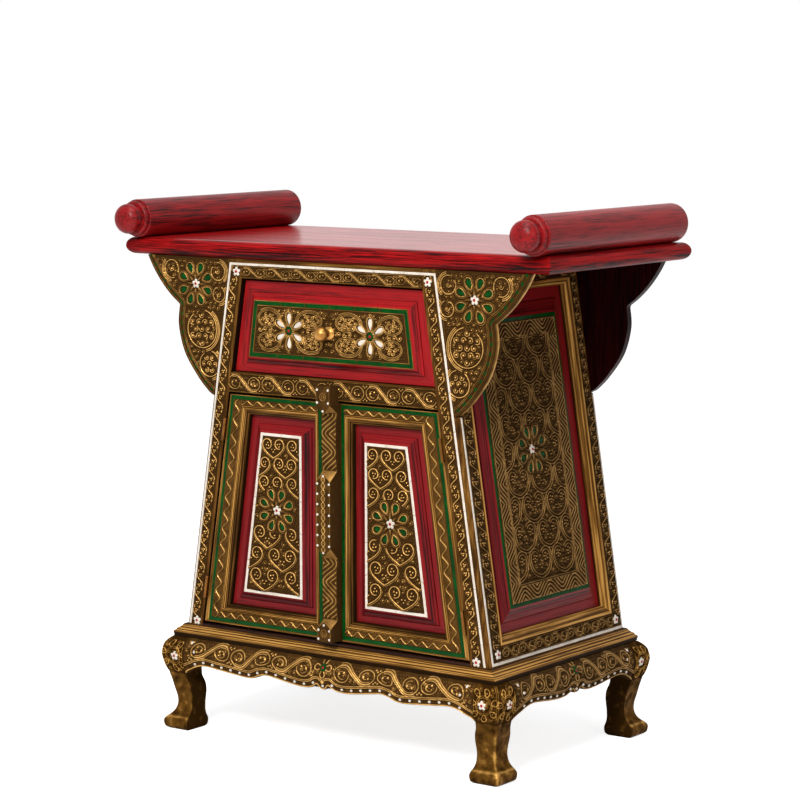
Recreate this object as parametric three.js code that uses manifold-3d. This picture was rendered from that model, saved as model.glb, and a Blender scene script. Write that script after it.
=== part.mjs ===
// Altar cabinet: a small carved and lacquered cupboard with sloping sides, one drawer
// over two doors, a wide top board with a scroll on each end, and a low stand on
// cabriole legs. Millimetres, +Z up, front towards -Y. The origin lies on the floor under
// the middle of the whole outline; everything is drawn from the middle of the cupboard
// and moved back by ORIGIN_SHIFT at the end.

import * as THREE from 'three';
import { mergeVertices } from 'three/addons/utils/BufferGeometryUtils.js';
import Module from 'manifold-3d';

const wasm = await Module();
wasm.setup();

// Driving dimensions

const FIT = 0.3; // gap between neighbouring pieces that only touch
const STAND_TOP = 173.5; // height at which the cupboard stands on its base
const CARCASS_TOP = 770; // underside of the top board
const HALF_DEPTH = 191; // front and back faces of the cupboard
const SIDE_AT_REF = 207; // half width of the cupboard at REF_HEIGHT
const REF_HEIGHT = 764;
const SLOPE = 0.157; // how far each side leans out per millimetre of drop
const CHAMFER = 7; // bevel down the outer corner of each post
const POST_WIDTH = 35; // post, seen from the front
const POST_DEPTH = 34; // post, seen from the side

const BOARD_HALF_WIDTH = 411; // top board
const BOARD_HALF_DEPTH = 199.5;
const BOARD_THICKNESS = 27.5;
const SCROLL_RADIUS = 30.5;
const SCROLL_X = 386;
const SCROLL_REAR = 187;
const SCROLL_FRONT = -240.5;
const SCROLL_SHIFT = { left: 3, right: -4 }; // the two scrolls do not stand quite level
const SCROLL_SEAT = 0.5; // depth of the flat seat under each scroll

const WING_THICKNESS = 12;
const WING_FOOT = 550; // height at which a wing runs out into its post
const WING_TIP_X = 372;
const WING_NOTCH = [305, 692.5];

const DRAWER_BOTTOM = 590; // drawer opening
const DRAWER_TOP = 739.5;
const MID_RAIL_BOTTOM = 558;
const DOOR_TOP = 554.5;
const DOOR_BOTTOM = 181;
const SILL_TOP = 176.8; // thin rail under the doors
const FRONT_RAIL_DEPTH = 20;

const DOOR_SET_BACK = 2.3; // door face behind the front of the frame
const DOOR_THICKNESS = 21;
const DOOR_GAP = 2; // between a door and its post, room for the hinge leaves
const MEETING_LEFT = 17; // right edge of the left door, under the pull bar
const MEETING_RIGHT = 19; // left edge of the right door
const MEETING_BEVEL = 1.5; // relief on the back of the left door's edge

const AXIS_PROUD = 3.2; // hinge axis in front of the frame
const HINGE_HEIGHTS = { lower: 239, upper: 498 };
const BARREL_RADIUS = 2.8;
const PIN_RADIUS = 1.2;
const BORE_RADIUS = 1.55;
const HINGE_LENGTH = 37;
const LEAF_THICKNESS = 0.6;

const STAND_HALF_WIDTH = 316.5; // moulded edge of the stand
const STAND_HALF_DEPTH = 202.5;
const APRON_TOP = 153;
const FOOT_X = 330; // outer faces of the feet
const FOOT_Y = 214;
const LEG_INNER = 285.5; // inner face of a leg where the apron meets it
const KNEE_BULGE = 2.9; // how far the knees stand out past the foot line
const APRON_BACK = 20; // how far the back of an apron lies inside the foot line

// The scrolls reach further forward than the knees reach back.
const ORIGIN_SHIFT = -(SCROLL_FRONT + SCROLL_SHIFT.right + FOOT_Y + KNEE_BULGE) / 2;

const sideAt = (z) => SIDE_AT_REF + (REF_HEIGHT - z) * SLOPE;
const openingAt = (z) => sideAt(z) - POST_WIDTH;

// Materials

const finish = (color, roughness, metalness = 0) =>
  new THREE.MeshStandardMaterial({ color, roughness, metalness });
const lacquer = finish(0x8f2224, 0.35);
const darkLacquer = finish(0x3c0f10, 0.5);
const giltCarving = finish(0x8a6a38, 0.5, 0.3);
const giltMoulding = finish(0x9a7438, 0.45, 0.3);
const bareWood = finish(0x6b4a32, 0.8);
const brass = finish(0xc79a4a, 0.3, 0.9);
const steel = finish(0x8f8f8f, 0.4, 0.9);

// Shape helpers

// Newell normal of a ring of points, used to face caps and to pick a flat projection.
function ringNormal(ring) {
  const normal = new THREE.Vector3();
  ring.forEach(([x, y, z], i) => {
    const [nx, ny, nz] = ring[(i + 1) % ring.length];
    normal.x += (y - ny) * (z + nz);
    normal.y += (z - nz) * (x + nx);
    normal.z += (x - nx) * (y + ny);
  });
  return normal;
}

// Triangles that close one ring, wound along the ring's own normal.
function capTriangles(ring) {
  const normal = ringNormal(ring);
  const size = [Math.abs(normal.x), Math.abs(normal.y), Math.abs(normal.z)];
  const drop = size.indexOf(Math.max(...size));
  const keep = [0, 1, 2].filter((axis) => axis !== drop);
  const flat = ring.map((point) => new THREE.Vector2(point[keep[0]], point[keep[1]]));
  const corner = (i) => new THREE.Vector3(...ring[i]);
  return THREE.ShapeUtils.triangulateShape(flat, []).map(([a, b, c]) => {
    const edge1 = corner(b).sub(corner(a));
    const edge2 = corner(c).sub(corner(a));
    return edge1.cross(edge2).dot(normal) < 0 ? [a, c, b] : [a, b, c];
  });
}

// Closed solid through a row of rings with the same number of points each.
function loft(rings) {
  const count = rings[0].length;
  const last = (rings.length - 1) * count;
  const triangles = [];
  for (let r = 0; r < rings.length - 1; r += 1) {
    for (let k = 0; k < count; k += 1) {
      const a = r * count + k;
      const b = r * count + ((k + 1) % count);
      triangles.push([a, b, b + count], [a, b + count, a + count]);
    }
  }
  capTriangles(rings[0]).forEach(([a, b, c]) => triangles.push([a, c, b]));
  capTriangles(rings.at(-1)).forEach(([a, b, c]) => triangles.push([last + a, last + b, last + c]));
  const points = rings.flat();
  const volume = triangles.reduce((sum, [a, b, c]) => {
    const [pa, pb, pc] = [a, b, c].map((i) => new THREE.Vector3(...points[i]));
    return sum + pa.dot(pb.cross(pc));
  }, 0);
  const faces = volume < 0 ? triangles.map(([a, b, c]) => [a, c, b]) : triangles;
  const geometry = new THREE.BufferGeometry();
  geometry.setAttribute('position', new THREE.Float32BufferAttribute(points.flat(), 3));
  geometry.setIndex(faces.flat());
  return geometry;
}

function toSolid(geometry) {
  const bare = geometry.clone();
  bare.deleteAttribute('normal');
  bare.deleteAttribute('uv');
  const merged = mergeVertices(bare);
  return new wasm.Manifold(
    new wasm.Mesh({
      numProp: 3,
      vertProperties: merged.attributes.position.array,
      triVerts: new Uint32Array(merged.index.array),
    }),
  );
}

function toGeometry(solid) {
  const mesh = solid.getMesh();
  const geometry = new THREE.BufferGeometry();
  geometry.setAttribute('position', new THREE.BufferAttribute(mesh.vertProperties, 3));
  geometry.setIndex(new THREE.BufferAttribute(mesh.triVerts, 1));
  return geometry;
}

const join = (...geometries) =>
  toGeometry(geometries.map(toSolid).reduce((whole, next) => whole.add(next)));
const cut = (geometry, tool) => toGeometry(toSolid(geometry).subtract(toSolid(tool)));

// Box between two corners.
function block([x0, y0, z0], [x1, y1, z1]) {
  const geometry = new THREE.BoxGeometry(x1 - x0, y1 - y0, z1 - z0);
  geometry.translate((x0 + x1) / 2, (y0 + y1) / 2, (z0 + z1) / 2);
  return geometry;
}

const cabinet = new THREE.Group();

function add(name, geometry, material, parent = cabinet) {
  const mesh = new THREE.Mesh(geometry, material);
  mesh.name = name;
  parent.add(mesh);
  return mesh;
}

// A point of a framed face is [across, height, depth behind the face].
const onFront = ([u, v, d]) => [u, -HALF_DEPTH + d, v];
const onSide = (sign) => ([u, v, d]) => [sign * (sideAt(v) - d), u, v];

// Four corners of a face between two heights, with its edges given by height.
function quad(low, high, left, right) {
  return [
    [left(low), low],
    [right(low), low],
    [right(high), high],
    [left(high), high],
  ];
}

// The quad that lies a share of the way from one quad to another, corner by corner.
const between = (from, to, share) =>
  from.map(([u, v], i) => [u + (to[i][0] - u) * share, v + (to[i][1] - v) * share]);

// Panel or board built up from quads at given depths, back first.
const stack = (layers, place) =>
  loft(layers.map(([corners, depth]) => corners.map(([u, v]) => place([u, v, depth]))));

// One mitred side of a frame; each layer is [quad, depth], in order round the section.
function mitredMember(layers, side, place) {
  const ends = [side, (side + 1) % 4];
  const [start, end] = ends.map((corner) => layers.map(([corners, d]) => [...corners[corner], d]));
  const run = [end[0][0] - start[0][0], end[0][1] - start[0][1]];
  const trim = (FIT / 2) / Math.hypot(...run);
  const shift = (points, share) =>
    points.map(([u, v, d]) => place([u + run[0] * share, v + run[1] * share, d]));
  return loft([shift(start, trim), shift(end, -trim)]);
}

// Top board and scrolls

// Plank with a half-round edge on all four sides, mitred at the corners, and a shallow
// seat for a scroll across each end.
function makeTopBoard() {
  const radius = BOARD_THICKNESS / 2;
  const steps = 8;
  const rings = [];
  for (let i = 0; i <= steps; i += 1) {
    const angle = -Math.PI / 2 + (Math.PI * i) / steps;
    const inset = radius * (1 - Math.cos(angle));
    const x = BOARD_HALF_WIDTH - inset;
    const y = BOARD_HALF_DEPTH - inset;
    const z = CARCASS_TOP + radius * (1 + Math.sin(angle));
    rings.push([[-x, -y, z], [x, -y, z], [x, y, z], [-x, y, z]]);
  }
  const top = CARCASS_TOP + BOARD_THICKNESS;
  const seatEdge = SCROLL_X - SCROLL_RADIUS - FIT;
  return [-1, 1].reduce((plank, sign) => {
    const reach = [sign * seatEdge, sign * (BOARD_HALF_WIDTH + 5)].sort((a, b) => a - b);
    const depth = BOARD_HALF_DEPTH + 5;
    return cut(plank, block([reach[0], -depth, top - SCROLL_SEAT], [reach[1], depth, top + 5]));
  }, loft(rings));
}

// Turned scroll: [radius, distance along the axis], from the front knop to the rear end.
const scrollProfile = [
  [0, SCROLL_FRONT],
  [10, -240],
  [17, -237],
  [22, -232],
  [24, -226],
  [23.5, -220],
  [20.5, -216],
  [20.5, -213.5],
  [26, -212],
  [28, -208],
  [27.2, -204.5],
  [SCROLL_RADIUS, -203],
  [SCROLL_RADIUS, SCROLL_REAR - 5],
  [28, SCROLL_REAR - 1],
  [0, SCROLL_REAR],
];

function makeScroll(sign, shift) {
  const profile = scrollProfile.map(([radius, along]) => new THREE.Vector2(radius, along));
  const turned = new THREE.LatheGeometry(profile, 24);
  const seat = CARCASS_TOP + BOARD_THICKNESS - SCROLL_SEAT;
  turned.translate(sign * SCROLL_X, shift, seat + SCROLL_RADIUS + FIT);
  return turned;
}

add('top_board', makeTopBoard(), lacquer);
add('left_scroll', makeScroll(-1, SCROLL_SHIFT.left), lacquer);
add('right_scroll', makeScroll(1, SCROLL_SHIFT.right), lacquer);

// Wings: flat boards with two lobes that fill the angle under the top board

function wingOutline() {
  const inner = (z) => sideAt(z) - CHAMFER + FIT;
  const outline = new THREE.Shape();
  outline.moveTo(inner(CARCASS_TOP - FIT), CARCASS_TOP - FIT);
  outline.lineTo(inner(WING_FOOT), WING_FOOT);
  outline.splineThru([
    new THREE.Vector2(244, 554.5),
    new THREE.Vector2(267.5, 577),
    new THREE.Vector2(295, 615),
    new THREE.Vector2(307.5, 658),
    new THREE.Vector2(...WING_NOTCH),
  ]);
  outline.quadraticCurveTo(348, 722, WING_TIP_X, CARCASS_TOP - FIT);
  return outline;
}

function makeWing(sideSign, depthSign) {
  const geometry = new THREE.ExtrudeGeometry(wingOutline(), {
    depth: WING_THICKNESS,
    bevelEnabled: false,
    curveSegments: 5,
  });
  const place = geometry.attributes.position;
  const rings = [];
  for (let i = 0; i < place.count; i += 3) {
    const triangle = [0, 1, 2].map((k) => [
      sideSign * place.getX(i + k),
      depthSign * (HALF_DEPTH - place.getZ(i + k)),
      place.getY(i + k),
    ]);
    rings.push(...(sideSign * depthSign > 0 ? triangle : triangle.reverse()));
  }
  const placed = new THREE.BufferGeometry();
  placed.setAttribute('position', new THREE.Float32BufferAttribute(rings.flat(), 3));
  return placed;
}

// Corner posts

// Post from its foot to the top board, leaning with the side. Above the wing's foot the
// bevelled corner gives way to a rebate in which the wing lies.
function makePost(sideSign, depthSign) {
  const inner = HALF_DEPTH - POST_DEPTH;
  const section = (z, corner) =>
    [[-POST_WIDTH, inner], [-POST_WIDTH, HALF_DEPTH], ...corner, [0, inner]].map(([x, y]) => [
      sideSign * (sideAt(z) + x),
      depthSign * y,
      z,
    ]);
  const bevel = [[-CHAMFER, HALF_DEPTH], [0, HALF_DEPTH - CHAMFER]];
  const ledge = HALF_DEPTH - WING_THICKNESS - FIT;
  const rebate = [[-CHAMFER, HALF_DEPTH], [-CHAMFER, ledge], [0, ledge]];
  const lower = loft([section(STAND_TOP, bevel), section(WING_FOOT - FIT, bevel)]);
  const upper = loft([section(WING_FOOT - FIT, rebate), section(CARCASS_TOP, rebate)]);
  return join(lower, upper);
}

for (const [depthName, depthSign] of [['front', -1], ['rear', 1]]) {
  for (const [sideName, sideSign] of [['left', -1], ['right', 1]]) {
    const carved = depthName === 'front' ? giltCarving : darkLacquer;
    add(`${depthName}_${sideName}_wing`, makeWing(sideSign, depthSign), carved);
    add(`${depthName}_${sideName}_post`, makePost(sideSign, depthSign), giltCarving);
  }
}

// Front rails, between the posts

function makeFrontRail(low, high, depth = FRONT_RAIL_DEPTH) {
  const edge = (z) => openingAt(z) - FIT;
  const face = quad(low, high, (z) => -edge(z), edge);
  return stack([[face, depth], [face, 0]], onFront);
}

add('front_top_rail', makeFrontRail(DRAWER_TOP, CARCASS_TOP), giltCarving);
add('front_mid_rail', makeFrontRail(MID_RAIL_BOTTOM, DRAWER_BOTTOM), giltCarving);
add('front_sill_rail', makeFrontRail(STAND_TOP, SILL_TOP, 23), darkLacquer);

// Sides: top and bottom rail, gilt moulding and raised panel in each

const SIDE_RAIL_THICKNESS = 22;
const SIDE_LOW = 202; // top of the bottom rail
const SIDE_HIGH = 738; // underside of the top rail
const SIDE_MOULDING = 13;
const SIDE_MOULDING_DEPTH = 13.5;
const SIDE_PANEL_THICKNESS = 10;

const upright = (low, high, half) => quad(low, high, () => -half, () => half);

function addSide(name, sign) {
  const place = onSide(sign);
  const reach = HALF_DEPTH - POST_DEPTH - FIT;
  const rail = (low, high) => {
    const outline = upright(low, high, reach);
    return stack([[outline, SIDE_RAIL_THICKNESS], [outline, 0]], place);
  };
  add(`${name}_side_top_rail`, rail(SIDE_HIGH + FIT, CARCASS_TOP), giltCarving);
  add(`${name}_side_bottom_rail`, rail(STAND_TOP, SIDE_LOW - FIT), giltCarving);

  const outer = upright(SIDE_LOW, SIDE_HIGH, reach);
  const inner = upright(SIDE_LOW + SIDE_MOULDING, SIDE_HIGH - SIDE_MOULDING, reach - SIDE_MOULDING);
  const crest = between(outer, inner, 0.35);
  const frame = stack([[outer, SIDE_MOULDING_DEPTH], [outer, 0]], place);
  const hollow = [[inner, SIDE_MOULDING_DEPTH + 1], [inner, 8], [crest, 0], [crest, -1]];
  add(`${name}_side_moulding`, cut(frame, stack(hollow, place)), giltMoulding);

  const tongue = between(outer, inner, 0.05);
  const flat = SIDE_MOULDING_DEPTH + FIT;
  const base = upright(229, 706, 129);
  const bead = upright(239, 696, 119);
  const field = upright(250, 685, 111);
  const layers = [
    [tongue, flat + SIDE_PANEL_THICKNESS],
    [tongue, flat],
    [base, flat],
    [between(base, bead, 0.3), 11],
    [bead, 9.5],
    [between(bead, field, 0.2), 8],
    [field, 5.4],
  ];
  add(`${name}_side_panel`, stack(layers, place), lacquer);
}

addSide('left', -1);
addSide('right', 1);

// Back, floor and the board between drawer and cupboard

const BACK_PANEL_FACE = 171;
const BACK_PANEL_THICKNESS = 9;

function makeBackPanel() {
  const edge = (z) => openingAt(z) - FIT;
  const face = quad(STAND_TOP, CARCASS_TOP, (z) => -edge(z), edge);
  const place = ([u, v, d]) => [u, BACK_PANEL_FACE + d, v];
  return stack([[face, 0], [face, BACK_PANEL_THICKNESS]], place);
}

const DRAWER_HALF_WIDTH = 168; // outside of the drawer box
const GUIDE_WIDTH = 12;

function makeDustBoard() {
  const edge = openingAt(DRAWER_BOTTOM) - 1;
  const rear = BACK_PANEL_FACE - FIT;
  const front = -HALF_DEPTH + FRONT_RAIL_DEPTH + FIT;
  const board = block([-edge, front, 578], [edge, rear, DRAWER_BOTTOM]);
  const guides = [-1, 1].map((sign) => {
    const near = sign * (DRAWER_HALF_WIDTH + 1.2);
    const far = near + sign * GUIDE_WIDTH;
    return block(
      [Math.min(near, far), front + 10, DRAWER_BOTTOM - 1],
      [Math.max(near, far), rear - 4, DRAWER_BOTTOM + 14],
    );
  });
  return join(board, ...guides);
}

const floorEdge = openingAt(186) - 1;
const floorFront = -HALF_DEPTH + DOOR_SET_BACK + DOOR_THICKNESS + 0.7;
const bottomBoard = block(
  [-floorEdge, floorFront, STAND_TOP],
  [floorEdge, BACK_PANEL_FACE - FIT, 186],
);

add('back_panel', makeBackPanel(), darkLacquer);
add('bottom_board', bottomBoard, bareWood);
add('dust_board', makeDustBoard(), bareWood);

// Drawer

const DRAWER_SET_BACK = 9;
const DRAWER_FRONT_THICKNESS = 18;
const DRAWER_GAP = 1.5;
const DRAWER_BACK_Y = 160;
const DRAWER_SIDE_THICKNESS = 12;
const DRAWER_SIDE_HEIGHT = 105;
const DRAWER_LIFT = 0.8; // running clearance over the dust board
const KNOB_HEIGHT = 663;

function makeDrawerFront() {
  const edge = (z) => openingAt(z) - DRAWER_GAP;
  const face = quad(DRAWER_BOTTOM + DRAWER_GAP, DRAWER_TOP - 3, (z) => -edge(z), edge);
  const raised = (low, high, bottomHalf, topHalf) => [
    [-bottomHalf, low],
    [bottomHalf, low],
    [topHalf, high],
    [-topHalf, high],
  ];
  const base = raised(605.5, 718.5, 174, 160);
  const bead = raised(611, 713, 168, 155);
  const field = raised(616.5, 707.5, 161.5, 149.5);
  const board = stack(
    [
      [face, DRAWER_SET_BACK + DRAWER_FRONT_THICKNESS],
      [face, DRAWER_SET_BACK],
      [base, DRAWER_SET_BACK],
      [between(base, bead, 0.3), 5],
      [bead, 3.5],
      [between(bead, field, 0.2), 1.5],
      [field, -1.5],
    ],
    onFront,
  );
  const bore = new THREE.CylinderGeometry(2.3, 2.3, 60, 12);
  bore.translate(0, -HALF_DEPTH + DRAWER_SET_BACK, KNOB_HEIGHT);
  return cut(board, bore);
}

const drawerBackFace = -HALF_DEPTH + DRAWER_SET_BACK + DRAWER_FRONT_THICKNESS;
const drawerFloor = DRAWER_BOTTOM + DRAWER_LIFT;
const drawerInner = DRAWER_HALF_WIDTH - DRAWER_SIDE_THICKNESS;

function addDrawer() {
  add('drawer_front', makeDrawerFront(), lacquer);
  for (const [name, sign] of [['left', -1], ['right', 1]]) {
    const edges = [sign * drawerInner, sign * DRAWER_HALF_WIDTH].sort((a, b) => a - b);
    const side = block(
      [edges[0], drawerBackFace + FIT, drawerFloor],
      [edges[1], DRAWER_BACK_Y, drawerFloor + DRAWER_SIDE_HEIGHT],
    );
    add(`drawer_${name}_side`, side, bareWood);
  }
  const across = drawerInner - FIT;
  const backStart = DRAWER_BACK_Y - DRAWER_SIDE_THICKNESS;
  const back = block(
    [-across, backStart, drawerFloor],
    [across, DRAWER_BACK_Y, drawerFloor + DRAWER_SIDE_HEIGHT],
  );
  const bottom = block(
    [-across, drawerBackFace + FIT, drawerFloor + 5],
    [across, backStart - FIT, drawerFloor + 11],
  );
  add('drawer_back', back, bareWood);
  add('drawer_bottom', bottom, bareWood);
}

// Turned pieces of the drawer pull lie along Y: [radius, distance in front of the frame].
function makeTurned(profile, segments) {
  const points = profile.map(([radius, along]) => new THREE.Vector2(radius, along));
  const turned = new THREE.LatheGeometry(points, segments);
  turned.rotateX(Math.PI);
  turned.translate(0, -HALF_DEPTH, KNOB_HEIGHT);
  return turned;
}

const knobProfile = [
  [0, 1.8],
  [9, 1.8],
  [10.5, 3],
  [9, 5],
  [5.5, 7.5],
  [4.5, 11],
  [6, 14.5],
  [10, 17.5],
  [11.5, 22],
  [10.5, 27],
  [7, 31],
  [3, 33],
  [0, 33.4],
];
const screwProfile = [
  [0, -30.5],
  [4, -30],
  [4.5, -28],
  [4.5, -DRAWER_SET_BACK - DRAWER_FRONT_THICKNESS - FIT],
  [1.9, -DRAWER_SET_BACK - DRAWER_FRONT_THICKNESS - FIT],
  [1.9, 1.5],
  [0, 1.5],
];

addDrawer();
add('drawer_knob', makeTurned(knobProfile, 20), brass);
add('drawer_knob_screw', makeTurned(screwProfile, 10), steel);

// Doors: mitred frames with raised panels, hinged on the leaning posts

const FRAME_SLOPE = 0.144; // the inner edge of a hinge stile leans a little less
const DOOR_CREST = 0.24; // share of a frame member taken by its moulded inner edge
const PANEL_DEPTH = 12.7; // flat of the panel behind the door face
const onDoor = (sign) => ([u, v, d]) => [sign * u, -HALF_DEPTH + DOOR_SET_BACK + d, v];

function makeDoorParts(sign) {
  const place = onDoor(sign);
  const outerEdge = (z) => openingAt(z) - DOOR_GAP;
  const innerEdge = (z) => 170.8 + (498 - z) * FRAME_SLOPE;
  const meeting = () => MEETING_RIGHT;
  const outer = quad(DOOR_BOTTOM, DOOR_TOP, meeting, outerEdge);
  const inner = quad(213.6, 523, () => 38, innerEdge);
  const crest = between(inner, outer, DOOR_CREST);
  const groove = between(inner, outer, 0.24);
  const section = [
    [outer, 0],
    [crest, 0],
    [inner, 6.4],
    [inner, PANEL_DEPTH - FIT],
    [groove, PANEL_DEPTH - FIT],
    [groove, 18],
    [inner, 18],
    [inner, DOOR_THICKNESS],
    [outer, DOOR_THICKNESS],
  ];
  const member = (side) => mitredMember(section, side, place);

  const tongue = between(inner, outer, 0.2);
  const base = quad(224, 510.5, () => 48, (z) => 157.8 + (497 - z) * FRAME_SLOPE);
  const field = quad(237.7, 497, () => 62, (z) => 143.5 + (497 - z) * FRAME_SLOPE);
  const panel = stack(
    [
      [tongue, 17.7],
      [tongue, PANEL_DEPTH],
      [base, PANEL_DEPTH],
      [between(base, field, 0.15), 9.5],
      [between(base, field, 0.5), 8],
      [between(base, field, 0.6), 6.5],
      [field, 2.7],
    ],
    place,
  );
  return {
    bottom_rail: member(0),
    hinge_stile: member(1),
    top_rail: member(2),
    meeting_stile: member(3),
    panel,
  };
}

// The left door's meeting stile is wider: it runs on under the pull bar.
function widenMeetingStile(stile) {
  const front = -HALF_DEPTH + DOOR_SET_BACK;
  const back = front + DOOR_THICKNESS;
  const section = (z) => [
    [-MEETING_RIGHT, front, z],
    [MEETING_LEFT, front, z],
    [MEETING_LEFT - MEETING_BEVEL, back, z],
    [-MEETING_RIGHT, back, z],
  ];
  const seat = loft([section(DOOR_BOTTOM), section(DOOR_TOP)]);
  const bridge = block(
    [-MEETING_RIGHT - 2, front + 1, DOOR_BOTTOM + 6],
    [-MEETING_RIGHT + 2, back - 1, DOOR_TOP - 6],
  );
  return join(stile, seat, bridge);
}

const doorFinish = { panel: lacquer };
for (const [name, sign] of [['left', -1], ['right', 1]]) {
  const parts = makeDoorParts(sign);
  if (name === 'left') {
    parts.meeting_stile = widenMeetingStile(parts.meeting_stile);
  }
  for (const [part, geometry] of Object.entries(parts)) {
    add(`${name}_door_${part}`, geometry, doorFinish[part] ?? giltMoulding);
  }
}

// Pull bar on the left door: [distance in front of the frame, height], bottom to top

const BAR_LEFT = -10.7;
const BAR_PROUD = 24;
const BAR_LOW = 7.5;
const barProfile = [
  [-DOOR_SET_BACK + FIT, 182],
  [BAR_PROUD - 1.5, 182],
  [BAR_PROUD, 184],
  [BAR_PROUD, 208],
  [BAR_LOW - 1.5, 217],
  [BAR_LOW + 1.5, 238],
  [BAR_LOW + 1.5, 292],
  [BAR_LOW - 1.5, 312],
  [BAR_PROUD, 325],
  [BAR_PROUD, 438],
  [BAR_LOW - 1.5, 451],
  [BAR_LOW + 1.5, 472],
  [BAR_LOW + 1.5, 521],
  [BAR_LOW - 1.5, 541],
  [BAR_PROUD, 560],
  [BAR_PROUD, 581],
  [BAR_PROUD - 2, 583.5],
  [0.8, 583.5],
  [0.8, 556.5],
  [-DOOR_SET_BACK + FIT, 553],
];

function makePullBar() {
  const outline = (x) => barProfile.map(([proud, z]) => [x, -HALF_DEPTH - proud, z]);
  return loft([outline(BAR_LEFT), outline(MEETING_LEFT)]);
}

add('door_pull_bar', makePullBar(), giltCarving);

// Hinges: each has a leaf on the post with two knuckles and the pin, and a leaf on the
// door with the middle knuckle. They are modelled upright and tilted to the post.

const LEAF_NEAR = 3.1; // where a leaf starts, behind the axis
const LEAF_FAR = 23;
const LEAF_INNER = 0.15; // offset of a leaf from the axis plane
const KNUCKLE_HALF = 6.2; // half length of the middle knuckle
const TILT = Math.atan(SLOPE);

function makeLeaf(side, spans) {
  const near = side * LEAF_INNER;
  const far = side * (LEAF_INNER + LEAF_THICKNESS);
  const [low, high] = near < far ? [near, far] : [far, near];
  const half = HINGE_LENGTH / 2;
  const plate = block([low, LEAF_NEAR, -half], [high, LEAF_FAR, half]);
  const tabs = spans.map(([z0, z1]) => block([low, BARREL_RADIUS - 0.8, z0], [high, LEAF_NEAR + 1, z1]));
  return [plate, ...tabs];
}

function barrel(radius, z0, z1) {
  const geometry = new THREE.CylinderGeometry(radius, radius, z1 - z0, 12);
  geometry.rotateX(Math.PI / 2);
  geometry.translate(0, 0, (z0 + z1) / 2);
  return geometry;
}

function makeFrameLeaf(side) {
  const half = HINGE_LENGTH / 2;
  const spans = [[-half, -KNUCKLE_HALF - FIT], [KNUCKLE_HALF + FIT, half]];
  const knuckles = spans.map(([z0, z1]) => barrel(BARREL_RADIUS, z0, z1));
  const pin = barrel(PIN_RADIUS, -KNUCKLE_HALF - 1, KNUCKLE_HALF + 1);
  return join(...makeLeaf(side, spans), ...knuckles, pin);
}

function makeDoorLeaf(side) {
  const spans = [[-KNUCKLE_HALF, KNUCKLE_HALF]];
  const knuckle = barrel(BARREL_RADIUS, ...spans[0]);
  const bore = barrel(BORE_RADIUS, -KNUCKLE_HALF - 1, KNUCKLE_HALF + 1);
  return cut(join(...makeLeaf(side, spans), knuckle), bore);
}

function addHinge(sideName, sign, heightName) {
  const height = HINGE_HEIGHTS[heightName];
  const group = new THREE.Group();
  const axisX = openingAt(height) - DOOR_GAP / 2;
  group.position.set(sign * axisX, -HALF_DEPTH - AXIS_PROUD, height);
  group.rotation.y = -sign * TILT;
  cabinet.add(group);
  const name = `${sideName}_${heightName}_hinge`;
  add(`${name}_frame_leaf`, makeFrameLeaf(sign), brass, group);
  add(`${name}_door_leaf`, makeDoorLeaf(-sign), brass, group);
}

for (const [sideName, sign] of [['left', -1], ['right', 1]]) {
  for (const heightName of Object.keys(HINGE_HEIGHTS)) {
    addHinge(sideName, sign, heightName);
  }
}

// Stand: moulded top, scalloped aprons that swell outwards, and cabriole legs

// Moulded edge of the stand top: [height, share of its overhang].
const standProfile = [
  [APRON_TOP, 0.9],
  [155, 1],
  [161, 1],
  [162.5, 0.84],
  [165.5, 0.72],
  [168.5, 0.42],
  [170.5, 0.3],
  [STAND_TOP, 0.12],
];

function makeStandTop() {
  const carcassX = sideAt(STAND_TOP);
  const rings = standProfile.map(([z, share]) => {
    const x = carcassX + (STAND_HALF_WIDTH - carcassX) * share;
    const y = HALF_DEPTH + (STAND_HALF_DEPTH - HALF_DEPTH) * share;
    return [[-x, -y, z], [x, -y, z], [x, y, z], [-x, y, z]];
  });
  return loft(rings);
}

add('stand_top', makeStandTop(), giltMoulding);

// Outer face of the legs and aprons: [height, set back from the foot line].
const legLine = [
  [0, 7],
  [3, 2],
  [8, 0],
  [15, 0],
  [18.5, 2.2],
  [22, 5.7],
  [29, 11.5],
  [36, 14.4],
  [43.5, 15.5],
  [52.5, 14.9],
  [63, 12.6],
  [73.5, 10.3],
  [86, 7.5],
  [96, 4.6],
  [107, 0.3],
  [117, -2],
  [124, -KNEE_BULGE],
  [134, -1.7],
  [141, 0.3],
  [147, 4.6],
  [APRON_TOP - FIT, 11.4],
];
// Inner face of the legs: [height, distance from the middle plane].
const legInnerLine = [
  [0, 283.5],
  [3, 280.5],
  [8, 279],
  [15, 279],
  [22, 281],
  [30, 282],
  [45, 281.5],
  [60, 280],
  [75, 281.5],
  [86, 285],
  [92, LEG_INNER],
  [APRON_TOP, LEG_INNER],
];

function valueAt(line, z) {
  const next = Math.max(1, line.findIndex(([height]) => height >= z));
  const [z0, v0] = line[next - 1];
  const [z1, v1] = line[next];
  return v0 + ((v1 - v0) * (z - z0)) / (z1 - z0);
}

function makeLeg(sideSign, depthSign) {
  const rings = legLine.map(([z, setBack]) => {
    const x1 = FOOT_X - setBack;
    const y1 = FOOT_Y - setBack;
    const x0 = valueAt(legInnerLine, z);
    const y0 = x0 - (FOOT_X - FOOT_Y);
    const soft = z > 96 ? 6 : 3;
    const corners = [[x0, y0], [x1, y0], [x1, y1 - soft], [x1 - soft, y1], [x0, y1]];
    return corners.map(([x, y]) => [sideSign * x, depthSign * y, z]);
  });
  return loft(rings);
}

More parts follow.
